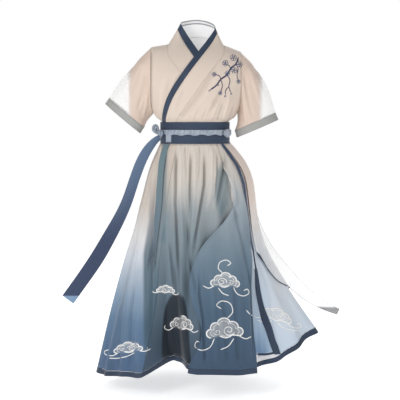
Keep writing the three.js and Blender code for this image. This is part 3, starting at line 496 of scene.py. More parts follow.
class Finish:
    """A material, with one method that makes its nodes."""

    def __init__(self, name, **fixed):
        self.material = bpy.data.materials.new(name)
        self.material.use_nodes = True
        self.tree = self.material.node_tree
        self.surface = self.tree.nodes["Principled BSDF"]
        for socket, value in fixed.items():
            self.surface.inputs[socket.replace("_", " ")].default_value = value

    def node(self, kind, settings=None, sockets=None):
        """Makes one node, with its settings, and with numbers or links for its sockets."""
        made = self.tree.nodes.new(kind)
        for key, value in (settings or {}).items():
            if key == "stops":
                self.ramp(made.color_ramp, value)
            else:
                setattr(made, key, value)
        known = {socket.name: socket for socket in reversed(made.inputs)}
        known.update({socket.identifier: socket for socket in made.inputs})
        known.update(dict(enumerate(made.inputs)))
        for key, value in (sockets or {}).items():
            if isinstance(value, Socket):
                self.tree.links.new(value.output, known[key])
            else:
                known[key].default_value = value
        return made

    def ramp(self, ramp, stops):
        """Sets the stops of a colour ramp: a position from 0 to 1 and a colour each."""
        while len(ramp.elements) > 1:
            ramp.elements.remove(ramp.elements[-1])
        for index, (place, colour) in enumerate(stops):
            element = ramp.elements[0] if index == 0 else ramp.elements.new(place)
            element.position = place
            element.color = colour

    def take(self, kind, output, settings=None, sockets=None):
        """A node's output, as a Socket."""
        made = self.node(kind, settings, sockets)
        found = {socket.identifier: socket for socket in made.outputs}
        found.update({socket.name: socket for socket in made.outputs if socket.enabled})
        return Socket(self, found[output])

    def kept(self, name):
        """A number that was noted on the mesh."""
        return self.take("ShaderNodeAttribute", "Fac", {"attribute_name": name})

    def place(self):
        """Across, depth and height of the point, in metres."""
        where = self.take("ShaderNodeTexCoord", "Object")
        split = self.node("ShaderNodeSeparateXYZ", None, {"Vector": where})
        return where, [Socket(self, output) for output in split.outputs]

    def noise(self, where, scale, detail=2.0, squeeze=None):
        """Soft noise, with squeeze as how often it repeats along each axis."""
        if squeeze:
            settings = {"operation": "MULTIPLY"}
            where = self.take("ShaderNodeVectorMath", "Vector", settings, {0: where, 1: squeeze})
        sockets = {"Vector": where, "Scale": scale, "Detail": detail}
        return self.take("ShaderNodeTexNoise", "Fac", None, sockets)

    def blend(self, share, first, second):
        """Mixes two colours, each a socket or three numbers as the eye sees them."""
        first, second = (dye(*tone) if isinstance(tone, tuple) else tone for tone in (first, second))
        sockets = {"Factor_Float": share, "A_Color": first, "B_Color": second}
        return self.take("ShaderNodeMix", "Result_Color", {"data_type": "RGBA"}, sockets)

    def darker(self, colour, share):
        """The colour, multiplied by one number."""
        settings = {"data_type": "RGBA", "blend_type": "MULTIPLY"}
        grey = self.take("ShaderNodeCombineColor", "Color", None, {0: share, 1: share, 2: share})
        sockets = {"Factor_Float": 1.0, "A_Color": colour, "B_Color": grey}
        return self.take("ShaderNodeMix", "Result_Color", settings, sockets)

    def painted_fold_shade(self, colour, valley, dark):
        """The colour, with painted shade down in the noted folds and painted light on their ridges."""
        folds = self.kept("fold")
        light = 1 - folds.step(0, valley) * dark + folds.step(0, RIDGE_HIGH) * RIDGE_PAINTED_LIGHT
        return self.darker(colour, light)

    def bump(self, height, strength, distance):
        """Raises the surface by a height from 0 to 1, times distance in metres."""
        sockets = {"Height": height, "Strength": strength, "Distance": distance}
        self.into("Normal", self.take("ShaderNodeBump", "Normal", None, sockets))

    def into(self, socket, value):
        """Links a value to a socket of the surface."""
        self.tree.links.new(value.output, self.surface.inputs[socket])


# %% [markdown]
# The weave is two sets of threads at right angles: one runs round the body and one runs down.
# Its pitch is a millimetre, so it shows from close by and is only a soft bloom from a step
# away. Long thin noise along the warp gives the slubs of silk and chiffon.

# %% Weave
THREAD = 1.1 * MM
GRAIN_RADIUS = 0.25
SLUB_SHAPE = (260.0, 260.0, 9.0)


def weave(finish, strength=0.5, depth=0.25 * MM, slub=0.5):
    """Adds threads and slubs. Returns where the point is, how far across and how far below."""
    where, (x, y, z) = finish.place()
    turn = x.sum("ARCTAN2", x - AXIS_X, 0 - y)
    threads = (turn * (GRAIN_RADIUS * TAU / THREAD)).sine() * (z * (TAU / THREAD)).sine() * 0.5 + 0.5
    slubs = finish.noise(where, 1.0, 3.0, SLUB_SHAPE)
    finish.bump(threads * (1 - slub) + slubs * slub, strength, depth)
    return where, x, 0 - z


# %% [markdown]
# Ombre is dyed by dipping: the colour depends on how deep the cloth hung in the bath. So each
# skirt cloth has a ramp over its height. The bath's edge is never straight, so slow noise
# moves it, and fine streaks follow the pleats. Troughs look deeper and bluer than ridges,
# where shade falls and light passes through two layers, and this is painted: the noted folds
# give painted shade in the troughs and painted light on the ridges.

# %% Dyed cloth
DIP_TOP = 400
DIP_LOW = 1360
DIP_WANDER = 0.10
STREAKS = 0.07
STREAK_SHAPE = (38.0, 38.0, 1.6)
PALER_FROM = 0.25
PALER_TO = 0.33
# Painted shade in the fold valleys and painted light on the ridges: the fold heights where each is full,
# and how strong each is.
VALLEY_DEEP = -9.0
VALLEY_PAINTED_SHADE = 0.42
RIDGE_HIGH = 8.0
RIDGE_PAINTED_LIGHT = 0.07
# Painted shade: the shadow tint and the nearly black deep tint. The lining tint is the cloth's pale
# inside.
# Each drawn tint: its name, how strong it is, and its colour.
TINTS = [
    ("shadow", 0.65, (84, 112, 124)), ("lining", 1.0, (226, 226, 229)), ("deep_shade", 0.95, (20, 31, 44)),
]
FILL = (206, 206, 206)
FILL_SHARE = 0.5
FILL_EVEN = 0.75


def dipped(name, stops, painted_valley_shade=VALLEY_PAINTED_SHADE, paler=0.0, beside=None):
    """A cloth dyed by depth. stops gives the colour at each distance below the neck base.

    paler lifts the outer side out of the bath, and beside is a darker colour ramp used where "beside" was
    noted.
    """
    finish = Finish(name, Roughness=0.72, Sheen_Weight=0.25, Sheen_Roughness=0.4)
    where, across, below = weave(finish)
    depth = (below - DIP_TOP * MM) / ((DIP_LOW - DIP_TOP) * MM)
    wander = finish.noise(where, 3.5, 1.0) - 0.5
    streak = finish.noise(where, 1.0, 2.0, STREAK_SHAPE) - 0.5
    level = depth + wander * DIP_WANDER + streak * STREAKS - across.step(PALER_FROM, PALER_TO) * paler
    baths = []
    for bath in (stops, beside or stops):
        ramp = [((down - DIP_TOP) / (DIP_LOW - DIP_TOP), dye(*colour)) for down, colour in bath]
        baths.append(finish.take("ShaderNodeValToRGB", "Color", {"stops": ramp}, {"Fac": level}))
    colour = finish.blend(finish.kept("beside"), *baths)
    # Painted shade in the fold valleys and painted light on the ridges.
    colour = finish.painted_fold_shade(colour, VALLEY_DEEP, painted_valley_shade)
    for tinted, share, tone in TINTS:
        colour = finish.blend(finish.kept(tinted) * share, colour, tone)
    fill = finish.kept("fill") * (FILL_EVEN + streak) * FILL_SHARE
    finish.into("Base Color", finish.blend(fill, colour, FILL))
    return finish


MIDDLE_DIP = [
    (430, (212, 202, 192)), (560, (204, 197, 189)), (620, (188, 186, 182)), (690, (146, 154, 158)),
    (770, (124, 137, 145)), (860, (108, 124, 134)), (1000, (90, 108, 122)), (1140, (72, 91, 108)),
    (1300, (54, 74, 96)),
]
WRAP_DIP = [
    (430, (210, 202, 193)), (530, (200, 195, 189)), (620, (168, 174, 178)), (690, (146, 159, 168)),
    (780, (122, 139, 151)), (880, (98, 119, 136)), (960, (82, 105, 125)), (1060, (69, 93, 115)),
    (1160, (60, 84, 108)), (1300, (52, 74, 98)),
]
SIDE_DIP = [
    (430, (206, 192, 180)), (680, (206, 196, 187)), (800, (216, 216, 217)), (880, (199, 205, 214)),
    (950, (168, 181, 195)), (1030, (127, 148, 170)), (1120, (90, 117, 145)), (1240, (72, 99, 130)),
    (1340, (62, 88, 120)),
]
BESIDE_DARKER_RAMP = [
    (430, (206, 192, 180)), (560, (204, 193, 182)), (650, (174, 168, 164)), (740, (152, 155, 160)),
    (830, (118, 130, 139)), (920, (92, 112, 123)), (1020, (78, 101, 116)), (1120, (62, 86, 104)),
    (1240, (58, 84, 104)), (1340, (56, 82, 112)),
]
SHEER_DIP = [
    (430, (216, 204, 195)), (700, (212, 210, 210)), (850, (202, 210, 220)), (960, (196, 208, 221)),
    (1060, (186, 202, 219)), (1160, (158, 182, 206)), (1250, (112, 142, 176)), (1320, (84, 114, 150)),
]
BACK_DIP = [
    (430, (212, 202, 192)), (600, (208, 200, 192)), (740, (182, 184, 186)), (860, (142, 155, 166)),
    (980, (110, 129, 146)), (1120, (84, 106, 130)), (1300, (60, 84, 112)),
]
middle_cloth = dipped("middle ombre", MIDDLE_DIP)
wrap_cloth = dipped("wrap ombre", WRAP_DIP, painted_valley_shade=0.2)
side_cloth = dipped("side ombre", SIDE_DIP, painted_valley_shade=0.2, beside=BESIDE_DARKER_RAMP)
sheer_cloth = dipped("sheer blue", SHEER_DIP, painted_valley_shade=0.2, paler=0.2)
back_cloth = dipped("back ombre", BACK_DIP)


# %% [markdown]
# Cream cloth, bindings and silk are each one colour, but none is flat. Cream warms and cools
# slowly, the navy satin has a faint nap, and the pale silk is mottled where it was dyed in the
# hand. Where folds are noted, these cloths get painted shade in the valleys and painted light
# on the ridges. The inside of the top and of the collar's edge glow a little: painted light.
# The collar's edge is turned in, and the turning shows as a grey line inside the neck.

# %% Plain cloths
def plain(name, colour, other, wander=5.0, painted_valley_shade=0.14, **fixed):
    """A cloth of one colour that drifts slowly to a second one, with painted shade in its fold valleys
    and painted light on its ridges.
    """
    finish = Finish(name, **{"Roughness": 0.78, "Sheen_Weight": 0.2, "Sheen_Roughness": 0.4, **fixed})
    where, _, _ = weave(finish)
    drift = finish.noise(where, wander).step(0.3, 0.7)
    mixed = finish.blend(drift, colour, other)
    finish.into("Base Color", finish.painted_fold_shade(mixed, VALLEY_DEEP / 2, painted_valley_shade))
    return finish


WHITE = (1, 1, 1, 1)
TURNED_IN = (0.004, 0.0055)
cream_cloth = plain("cream cloth", (213, 197, 185), (208, 194, 181))
# The inside of the top and of the collar's edge glow through Emission: painted light.
inside_cloth_glowing = plain("inside of the top with painted glow", (230, 230, 231), (224, 224, 226),
                     Emission_Color=WHITE, Emission_Strength=0.18)
inside_edge_glowing = plain("inside of the collar's edge with painted glow", (214, 214, 216), (208, 208, 210),
                    Emission_Color=WHITE, Emission_Strength=0.12)
turned_in = 1 - inside_edge_glowing.kept("rim").step(*TURNED_IN)
inside_edge_glowing.into("Base Color", inside_edge_glowing.blend(turned_in, (222, 222, 224), (120, 122, 126)))
navy_cloth = plain("navy binding", (37, 56, 80), (31, 48, 71), 9.0, Roughness=0.6)
sash_cloth = plain("sash silk", (160, 168, 180), (130, 143, 160), 30.0, Roughness=0.5)
cuff_cloth = plain("cuff binding", (174, 174, 171), (166, 166, 163), Alpha=0.85)

# %% [markdown]
# Sheer cloth is thin organza. Its colour and how much is seen through it change across the
# sleeves and down the ribbons. Its edge is rolled, so it is denser and darker there. The
# surface's own Alpha does this, and unlike a second shader it keeps the weave and the sheen.

# %% Sheer cloths
ROLL = (0.0012, 0.0034)
ROLL_DARK = 0.16
ROLL_DENSE = 1.5
SHEER_PART = 0.16
CREAM = (210, 190, 176)
CLEAR = (253, 253, 253)


def rolled(finish, colour, alpha):
    """Gives sheer cloth its colour and alpha, denser and a little darker in its rolled edge."""
    edge = 1 - finish.kept("rim").step(*ROLL)
    finish.into("Base Color", finish.darker(colour, 1 - edge * ROLL_DARK))
    finish.into("Alpha", alpha.sum("MINIMUM", alpha * (1 + edge * ROLL_DENSE), 1.0))


def organza(name, start, end):
    """Sheer cloth that goes from cream and close to white and thin, away from the body."""
    finish = Finish(name, Roughness=0.5, Sheen_Weight=0.15)
    _, across, _ = weave(finish, strength=0.3)
    away = across.sum("ABSOLUTE", across).step(start, end)
    rolled(finish, finish.blend(away, CREAM, CLEAR), 1 - away * (1 - SHEER_PART))
    return finish


def fading(name, top, low, mixed, thinned, thin):
    """Cloth that goes from one colour to another between two depths, and thins between two."""
    finish = Finish(name, Roughness=0.6, Sheen_Weight=0.2)
    _, _, below = weave(finish, strength=0.35)
    colour = finish.blend(below.step(*mixed), top, low)
    rolled(finish, colour, 1 - below.step(*thinned) * (1 - thin))
    return finish


sleeve_cloth = {
    "right": organza("organza, right sleeve", 0.246, 0.276),
    "left": organza("organza, left sleeve", 0.236, 0.27),
}
teal_cloth = fading("teal silk", (104, 126, 134), (92, 110, 124), (0.5, 0.86), (0.78, 0.93), 0.0)
overlay_cloth = fading("overlay", (218, 203, 193), (250, 251, 253), (0.62, 0.86), (0.66, 0.9), 0.3)

tail_cloth = Finish("organza, tail", Roughness=0.6, Sheen_Weight=0.2)
_, _, below = weave(tail_cloth, strength=0.35)
thinner = below.step(0.5, 0.8)
tip = below.step(1.096, 1.106)
silver = tail_cloth.blend(thinner, (232, 224, 218), (242, 242, 243))
rolled(tail_cloth, tail_cloth.blend(tip, silver, (158, 158, 160)), 1 - thinner * 0.74 + tip * 0.55)


# %% [markdown]
# The embroidery is drawn before the cloth is made, because the tulle inside each cloud is a
# tint of the cloth itself. The clouds follow the old pattern of a scalloped body with a scroll
# in it and long wisps that end in hooks. The spray on the shoulder is plum blossom. Each
# drawing is worked out from a middle, a size and a few numbers.

# %% Drawing helpers
def curve(points, closed=False, step=2.5):
    """A smooth line through points, with a spot about every step millimetres."""
    points = np.array(points, float)
    if closed:
        points = np.vstack([points[-1], points, points[0], points[1]])
    else:
        points = np.vstack([2 * points[0] - points[1], points, 2 * points[-1] - points[-2]])
    spots = []
    for a, b, c, d in zip(points, points[1:], points[2:], points[3:]):
        count = max(2, int(np.linalg.norm(c - b) / step))
        for t in np.arange(count) / count:
            cubic = 2 * a - 5 * b + 4 * c - d + t * (3 * (b - c) + d - a)
            spots.append(b + 0.5 * t * (c - a + t * cubic))
    spots.append(points[1] if closed else points[-2])
    return np.array(spots)


def turned(points, degrees):
    """Spots turned about the middle of the drawing."""
    c = math.cos(math.radians(degrees))
    s = math.sin(math.radians(degrees))
    return points @ np.array([[c, s], [-s, c]])


def scroll(radius, start, turns, way=1):
    """A spiral that winds in from radius to a small eye."""
    share = np.linspace(0, 1, int(36 * turns))
    angle = np.radians(start) + way * TAU * turns * share
    reach = radius * (1 - 0.84 * share)
    return np.stack([reach * np.cos(angle), reach * np.sin(angle)], 1)


def arc(middle, radius, start, end):
    """Part of a circle, from one angle to another in degrees, clockwise as drawn."""
    angle = np.radians(np.linspace(start, end, 14))
    return middle + radius * np.stack([np.cos(angle), np.sin(angle)], 1)


LOBES = [
    ((-0.74, 0.10), 0.27, 95, 275), ((-0.46, -0.24), 0.30, 165, 305), ((-0.02, -0.42), 0.36, 190, 335),
    ((0.42, -0.20), 0.32, 245, 375), ((0.72, 0.14), 0.26, 265, 440),
]
BASE = [(0.4, 0.3), (0.05, 0.44), (-0.35, 0.28)]
WISPS = {
    "both": [
        [(0.70, 0.38), (1.05, 0.62), (1.45, 0.58), (1.66, 0.30), (1.46, 0.10), (1.30, 0.28)],
        [(-0.70, 0.36), (-1.05, 0.66), (-1.50, 0.62), (-1.85, 0.30)],
        [(0.15, 0.60), (0.60, 0.92), (1.15, 0.96), (1.60, 0.74)],
        [(-0.15, 0.62), (-0.60, 0.90), (-1.05, 0.94)],
    ],
    "left": [
        [(-0.72, 0.36), (-1.15, 0.60), (-1.60, 0.36), (-1.66, -0.02), (-1.40, -0.16), (-1.26, 0.10)],
        [(0.40, 0.56), (-0.15, 0.88), (-0.80, 0.98), (-1.40, 0.86)],
        [(0.72, 0.40), (1.15, 0.52), (1.55, 0.30)],
    ],
    "up": [
        [(0.20, -0.74), (0.52, -1.10), (0.44, -1.62), (0.02, -1.84), (-0.30, -1.62), (-0.06, -1.36)],
        [(0.72, 0.40), (1.10, 0.62), (1.50, 0.46)],
        [(-0.60, 0.40), (-0.90, 0.92), (-1.36, 1.06), (-1.70, 0.80), (-1.58, 0.48), (-1.32, 0.62)],
        [(0.45, 0.52), (0.10, 0.96), (-0.35, 1.14)],
    ],
    "short": [
        [(0.72, 0.40), (1.15, 0.58), (1.50, 0.36)],
        [(-0.70, 0.36), (-1.10, 0.66), (-1.46, 0.54), (-1.44, 0.24)],
    ],
}
OUTLINE = 5.4
INNER_LINE = 2.2
SCROLL = 3.4
SMALL_SCROLL = 2.6
WISP = 4.2
# The closed outline of a cloud's body: five lobes over a wavy base.
BODY = np.vstack([arc(*lobe) for lobe in LOBES] + [curve(BASE, step=0.05)])
BODY = np.vstack([BODY, BODY[:1]])


def cloud(middle, size, wisps, turn=0, lean=200, way=1):
    """The lines of one cloud, each with its width, and its outline for the tulle."""
    wide, tall = size
    lines = [
        (BODY * size, OUTLINE),
        (BODY * 0.78 * size, INNER_LINE),
        (scroll(0.34, lean, 1.5) * size + [0.22 * wide, 0], SCROLL),
        (scroll(0.2, lean + 150, 1.2, -1) * size - [0.42 * wide, -0.04 * tall], SMALL_SCROLL),
    ]
    lines += [(curve(np.array(wisp) * size), WISP) for wisp in WISPS[wisps]]
    drawn = [(turned(line * [way, 1], turn) + middle, width) for line, width in lines]
    return drawn, drawn[0][0]


# Each cloud: its middle, its half size, its wisps, its turn, and how its scroll leans and faces.
CLOUDS_FRONT = [
    ((-272, 1262), (58, 34), "left", -6),
    ((-122, 1024), (36, 24), "short", 4, 20, -1),
    ((-56, 1164), (46, 44), "short", 8, 120),
    ((116, 992), (58, 48), "up", 4, 160, -1),
    ((116, 1190), (74, 66), "up", -6, 20),
    ((322, 1128), (66, 40), "both", 16, 240),
]
CLOUDS_BEHIND = [
    ((-196, 1170), (66, 44), "both", -6),
    ((-30, 1000), (48, 38), "up", 4, 20),
    ((76, 1190), (66, 50), "left", -4, 120),
    ((220, 1060), (50, 36), "short", 10, 300, -1),
]
MARGIN = 20


def inside(spots, outline):
    """How far inside a closed outline each spot is, in millimetres: negative is outside."""
    away, _ = near_line(spots, outline)
    odd = np.zeros(len(spots), bool)
    for (x1, y1), (x2, y2) in zip(outline, np.roll(outline, -1, 0)):
        if y1 != y2:
            crosses = (y1 > spots[:, 1]) != (y2 > spots[:, 1])
            odd ^= crosses & (spots[:, 0] < x1 + (x2 - x1) * (spots[:, 1] - y1) / (y2 - y1))
    return np.where(odd, away, -away)


def tint(obj, name, outlines, soft=2.0, behind=False):
    """Notes how far a drawn region covers each point of a cloth, from 0 to 1."""
    points = places(obj)
    spots = sight(points, behind)
    share = np.zeros(len(points))
    for outline in outlines:
        outline = np.array(outline, float)
        low = outline.min(0) - MARGIN
        high = outline.max(0) + MARGIN
        close = np.all((spots > low) & (spots < high), axis=1)
        covered = smooth(-soft, soft, inside(spots[close], outline))
        share[close] = np.maximum(share[close], covered)
    ahead = points[:, 1] > 0 if behind else points[:, 1] < 0
    note(obj, name, share * ahead)


FRONT_DRAWN = [cloud(*row) for row in CLOUDS_FRONT]
BEHIND_DRAWN = [cloud(*row) for row in CLOUDS_BEHIND]
print("clouds drawn:", len(FRONT_DRAWN) + len(BEHIND_DRAWN))

# %% [markdown]
# Every cloth is now made the same way: take the sheet, fold it, note the distance to its edge,
# and give it its real thickness. The inner side gets its own finish where the photograph shows
# one, such as the pale inside of the neck. A cut edge of cloth isn't sharp, so bindings and
# ribbons have theirs rounded.

# %% Making one cloth
CLOTH = 1.5 * MM
SHEER = 1.2 * MM
BINDING = 2.4 * MM
SASH = 2.6 * MM
LOW_OFFSET = -0.6
ROUNDED = 0.35
EDGE_ANGLE = math.radians(60)
SMOOTH_ANGLE = math.radians(50)
made = {}
edges = {}


def spread(obj):
    """The area of a sheet in square metres."""
    return sum(face.area for face in obj.data.polygons)


def edge_loops(obj):
    """The edges of a sheet as rows of places, ways inwards and normals, one row a loop."""
    points = places(obj)
    facing = normals(obj)
    inwards = np.zeros_like(points)
    joined = {}
    rims = set(border(obj))
    for face in obj.data.polygons:
        for key in face.edge_keys:
            if key in rims:
                middle = (points[key[0]] + points[key[1]]) / 2
                for index in key:
                    inwards[index] += np.array(face.center) - middle
                joined.setdefault(key[0], []).append(key[1])
                joined.setdefault(key[1], []).append(key[0])
    loops = []
    left = set(joined)
    while left:
        start = min(left)
        loop = [start]
        left.discard(start)
        while True:
            onward = [k for k in joined[loop[-1]] if k in left]
            if not onward:
                break
            loop.append(onward[0])
            left.discard(onward[0])
        loop.append(start)
        loops.append(loop)
    return [(points[loop], inwards[loop], facing[loop]) for loop in loops]


def thicken(obj, thick, finish, inside=None, offset=-1.0, rounded=False):
    """Gives a sheet its finish, its thickness and, if asked, rounded edges."""
    obj.data.materials.append(finish.material)
    if inside:
        obj.data.materials.append(inside.material)
    modified(obj, "SOLIDIFY", thickness=thick, offset=offset, material_offset=1 if inside else 0)
    if rounded:
        modified(obj, "BEVEL", width=thick * ROUNDED, segments=2, limit_method="ANGLE",
                 angle_limit=EDGE_ANGLE)
        bpy.ops.object.shade_smooth_by_angle(angle=SMOOTH_ANGLE)


def worn(obj, node):
    """Puts a finished piece on the body, in place of its frame node where it has one."""
    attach(obj, "root")
    if node in nodes:
        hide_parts(node)
    made[node] = obj


def cloth(node, thick, finish, slot, levels=3, shape=None, tube=False, **rest):
    """One cloth from its frame wall, shaped by a function of its own."""
    obj = outer_sheet(node, thick, levels, tube)
    if shape:
        shape(obj)
    note_rim(obj)
    edges[node] = edge_loops(obj)
    print(node, "has", round(spread(obj), 4), "square metres in", len(obj.data.polygons), "faces")
    thicken(obj, thick, finish, **rest)
    worn(obj, node)


# %% [markdown]
# The top: two fronts, the back, and the wide collar band that runs round the neck in one
# piece, with the navy strip along its free edge. Its inside is paler, as the lining side of
# the same weave, and glows a little as painted light. Each piece that is cut on its own is a
# cloth on its own.

# %% The top
for node, levels in {"front_under": 3, "front_over": 3, "back": 2, "collar_band": 2}.items():
    cloth(node, CLOTH, cream_cloth, "cream_cloth", levels, fold_top, inside=inside_cloth_glowing)
cloth("collar_edge", CLOTH, navy_cloth, "navy_binding", shape=fold_top, inside=inside_edge_glowing)

# %% [markdown]
# The sleeves are organza, set in at the dropped shoulder. Each falls in a few slanting folds,
# deepest under the arm, and ends in a cuff of doubled cloth.

# %% Sleeves and cuffs
EVEN = (0.2, 0.2)
SLEEVE_FOLDS = {
    "cloth_sleeve_right": [
        fold([(-206, 96), (-236, 170), (-268, 262)], 15, 4, EVEN),
        fold([(-228, 92), (-268, 160), (-312, 236)], 14, -4, EVEN),
        fold([(-192, 150), (-208, 232), (-232, 312)], 13, -5, EVEN),
        fold([(-186, 210), (-196, 280), (-212, 344)], 10, 4, EVEN),
    ],
    "cloth_sleeve_left": [
        fold([(206, 120), (230, 200), (262, 292)], 14, 4, EVEN),
        fold([(224, 118), (256, 184), (292, 262)], 13, -4, EVEN),
        fold([(190, 150), (206, 250), (226, 340)], 13, -5, EVEN),
        fold([(184, 230), (190, 300), (196, 360)], 10, 4, EVEN),
    ],
}
SEAM_FADE = 0.02


def fold_sleeve(obj):
    """Folds one sleeve along its own normals, but not at its seams."""
    note_rim(obj)
    points = places(obj)
    rim = read(obj.data.attributes["rim"].data, "value", 1)[:, 0]
    rise = drawn_folds(points, SLEEVE_FOLDS[obj.name]) * smooth(0, SEAM_FADE, rim)
    note(obj, "fold", rise)
    put(obj, points + normals(obj) * (rise * MM)[:, None])


for side, finish in sleeve_cloth.items():
    cloth("sleeve_" + side, SHEER, finish, "organza", shape=fold_sleeve, tube=True)
    cloth("cuff_" + side, BINDING, cuff_cloth, "cuff_cloth", tube=True, rounded=True)

# %% [markdown]
# The waistband is a firm navy band. The pale sash round it is drawn up from a wider strip, so
# it has fine standing ruches, and it bulges at its middle height. The ruches are waves round
# the body of three different counts, so that no two are alike.

# %% Waistband and sash
RUCHE = 1.1
RUCHES = [(53, 0.4), (89, 2.0), (31, 4.1)]
RUCHE_LEAN = 0.9
# How strongly the ruches paint shade and light into the sash's colour.
RUCHE_SHADE = 4
BULGE = 1.2
SASH_MIDDLE = 390
SASH_HALF = 11


def ruche(obj):
    """Fine standing folds in the sash, most at its middle height."""
    points = places(obj)
    angle = np.radians(around(points))
    across = np.clip((-points[:, 2] / MM - SASH_MIDDLE) / SASH_HALF, -1, 1)
    wave = sum(np.sin(count * angle + turn + RUCHE_LEAN * across) for count, turn in RUCHES)
    rise = RUCHE * (wave * 0.5 + BULGE * (1 - across**2))
    note(obj, "fold", RUCHE_SHADE * wave)
    put(obj, points + outwards(points) * (rise * MM)[:, None])


cloth("waistband", BINDING, navy_cloth, "navy_binding", rounded=True)
cloth("sash", SASH, sash_cloth, "sash_silk", shape=ruche, rounded=True)

# %% [markdown]
# The knots are tied from the ends of the sash: a tight core of gathered silk, with three bands
# wrapped over it. Each is a rough ball and three rings, pulled to its size and turned to its
# place on the waist, which is quicker than a sweep along a knot's real path and looks alike.

# %% Knots
KNOTS = {
    "knot_right": {"angle": -62, "lean": 35, "half": (19, 12, 16)},
    "knot_left": {"angle": 56, "lean": -30, "half": (22, 12, 17)},
}
# Each band over a knot: its turn in degrees, its tilt in radians and its size.
WRAPS = [(0, 0.0, 0.78), (68, 0.2, 0.7), (-50, -0.25, 0.6)]
CORE = 0.8
WRAP_BAND = 0.3
RIPPLE = 0.05
# How strongly the ripples of the knots and the bow paint shade and light into the silk's colour.
SILK_SHADE = 60


def box_middle(node):
    """The middle of a frame node's box."""
    low, high = (np.array(corner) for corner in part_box(node))
    return (low + high) / 2


def silk(obj, half, angle, middle, ripples):
    """Gathers a rough shape, fits it to its half sizes and turns it to its place on the waist."""
    points = places(obj)
    swirl = np.arctan2(points[:, 2], points[:, 0])
    reach = np.abs(points).max()
    rise = 1 + RIPPLE * np.sin(ripples * swirl + 5 * points[:, 1] / reach)
    rise += RIPPLE / 2 * np.sin(2 * ripples * swirl + 1)
    points = points * rise[:, None]
    points *= np.array(half) * MM / np.abs(points).max(0)
    c = math.cos(math.radians(angle))
    s = math.sin(math.radians(angle))
    put(obj, points @ np.array([[c, s, 0], [-s, c, 0], [0, 0, 1]]) + middle)
    note(obj, "fold", SILK_SHADE * (rise - 1))
    obj.data.materials.append(sash_cloth.material)
    pick_only(obj)
    bpy.ops.object.shade_smooth()
    print(obj.name, "silk, square metres:", round(spread(obj) / 2, 5))


def silk_ring(size, thick, steps, rotation, location=(0, 0, 0)):
    """A ring of silk, as a new object or in the mesh that is open."""
    bpy.ops.mesh.primitive_torus_add(
        major_radius=size, minor_radius=thick, major_segments=steps[0], minor_segments=steps[1],
        location=location, rotation=[math.radians(angle) for angle in rotation])


def knot(node, angle, lean, half):
    """A core of gathered silk with three bands wrapped over it."""
    bpy.ops.object.select_all(action="DESELECT")
    bpy.ops.mesh.primitive_uv_sphere_add(segments=48, ring_count=24, radius=CORE)
    obj = bpy.context.object
    obj.name = "tied_" + node
    bpy.ops.object.mode_set(mode="EDIT")
    for turn, tilt, size in WRAPS:
        silk_ring(size, WRAP_BAND, (40, 12), (math.degrees(tilt), 90, lean + turn))
    bpy.ops.object.mode_set(mode="OBJECT")
    silk(obj, half, angle, box_middle(node), ripples=11)
    worn(obj, node)


for node, row in KNOTS.items():
    knot(node, **row)

# %% [markdown]
# The bow beside the right knot is a soft loop of the sash, drawn through so that it stands up
# as a puffed ring, with a smaller one in front of it. Silk puffs out like a tube when a loop is
# pulled tight, so two rings are nearer to it than a flat folded strip.

# %% Bow
BOW_HALF = (17, 9, 24)
bpy.ops.object.select_all(action="DESELECT")
silk_ring(0.62, 0.38, (64, 16), (90, 0, 0))
bpy.ops.object.transform_apply(location=False, rotation=True, scale=False)
bow = bpy.context.object
bow.name = "puffed_bow_loop"
bpy.ops.object.mode_set(mode="EDIT")
silk_ring(0.5, 0.3, (48, 16), (70, 0, 25), location=(0.4, -0.3, -0.5))
bpy.ops.object.mode_set(mode="OBJECT")
silk(bow, BOW_HALF, 0, box_middle("bow_loop"), ripples=13)
worn(bow, "bow_loop")

# %% [markdown]
# The skirt panels, the wrap and their navy hem bindings. Deep inside the fold beside the
# wearer's right, painted shade makes the cloth nearly black. The part beside the teal ribbon
# has a darker colour ramp of its own, and two folds higher up get a painted shadow. On the
# raised hem at the left the pale inside shows. These are tints with an outline that is drawn
# on the paper, because modelling the light between two layers of thin cloth would take far
# longer to render.

# %% Skirt
# The painted shade deep inside the fold beside the wearer's right, nearly black.
DEEP_SHADE_OUTLINE = [
    (-134, 1300), (-134, 1180), (-124, 1100), (-104, 1052), (-78, 1040), (-50, 1056), (-34, 1130),
    (-26, 1250), (-26, 1330), (-90, 1350),
]
BESIDE_OUTLINE = [
    (-182, 500), (-188, 740), (-200, 820), (-210, 880), (-210, 1230), (-200, 1300), (0, 1300), (0, 500),
]
SHADOW_OUTLINES = [
    [(-136, 430), (-112, 430), (-112, 560), (-114, 700), (-122, 830), (-148, 830), (-142, 640)],
    [(84, 540), (112, 500), (136, 540), (132, 680), (96, 730), (74, 650)],
]
LINING_OUTLINE = [(240, 1288), (240, 1356), (336, 1330), (334, 1280)]
# Each tint: its name, the cloths that it is on, its outlines and the softness of its edge.
DRAWN_TINTS = [
    ("deep_shade", ["skirt_middle"], [curve(DEEP_SHADE_OUTLINE, closed=True)], 4.0),
    ("shadow", ["skirt_middle", "skirt_side_right"], SHADOW_OUTLINES, 15.0),
    ("beside", ["skirt_side_right"], [BESIDE_OUTLINE], 7.0),
    ("lining", ["skirt_side_left"], [LINING_OUTLINE], 2.0),
]
SKIRTS = {
    "skirt_side_right": (side_cloth, "side_ombre", 3),
    "skirt_middle": (middle_cloth, "middle_ombre", 3),
    "skirt_side_left": (sheer_cloth, "sheer_blue", 3),
    "skirt_back_left": (back_cloth, "back_ombre", 2),
    "skirt_back_right": (back_cloth, "back_ombre", 2),
    "skirt_wrap": (wrap_cloth, "wrap_ombre", 3),
}


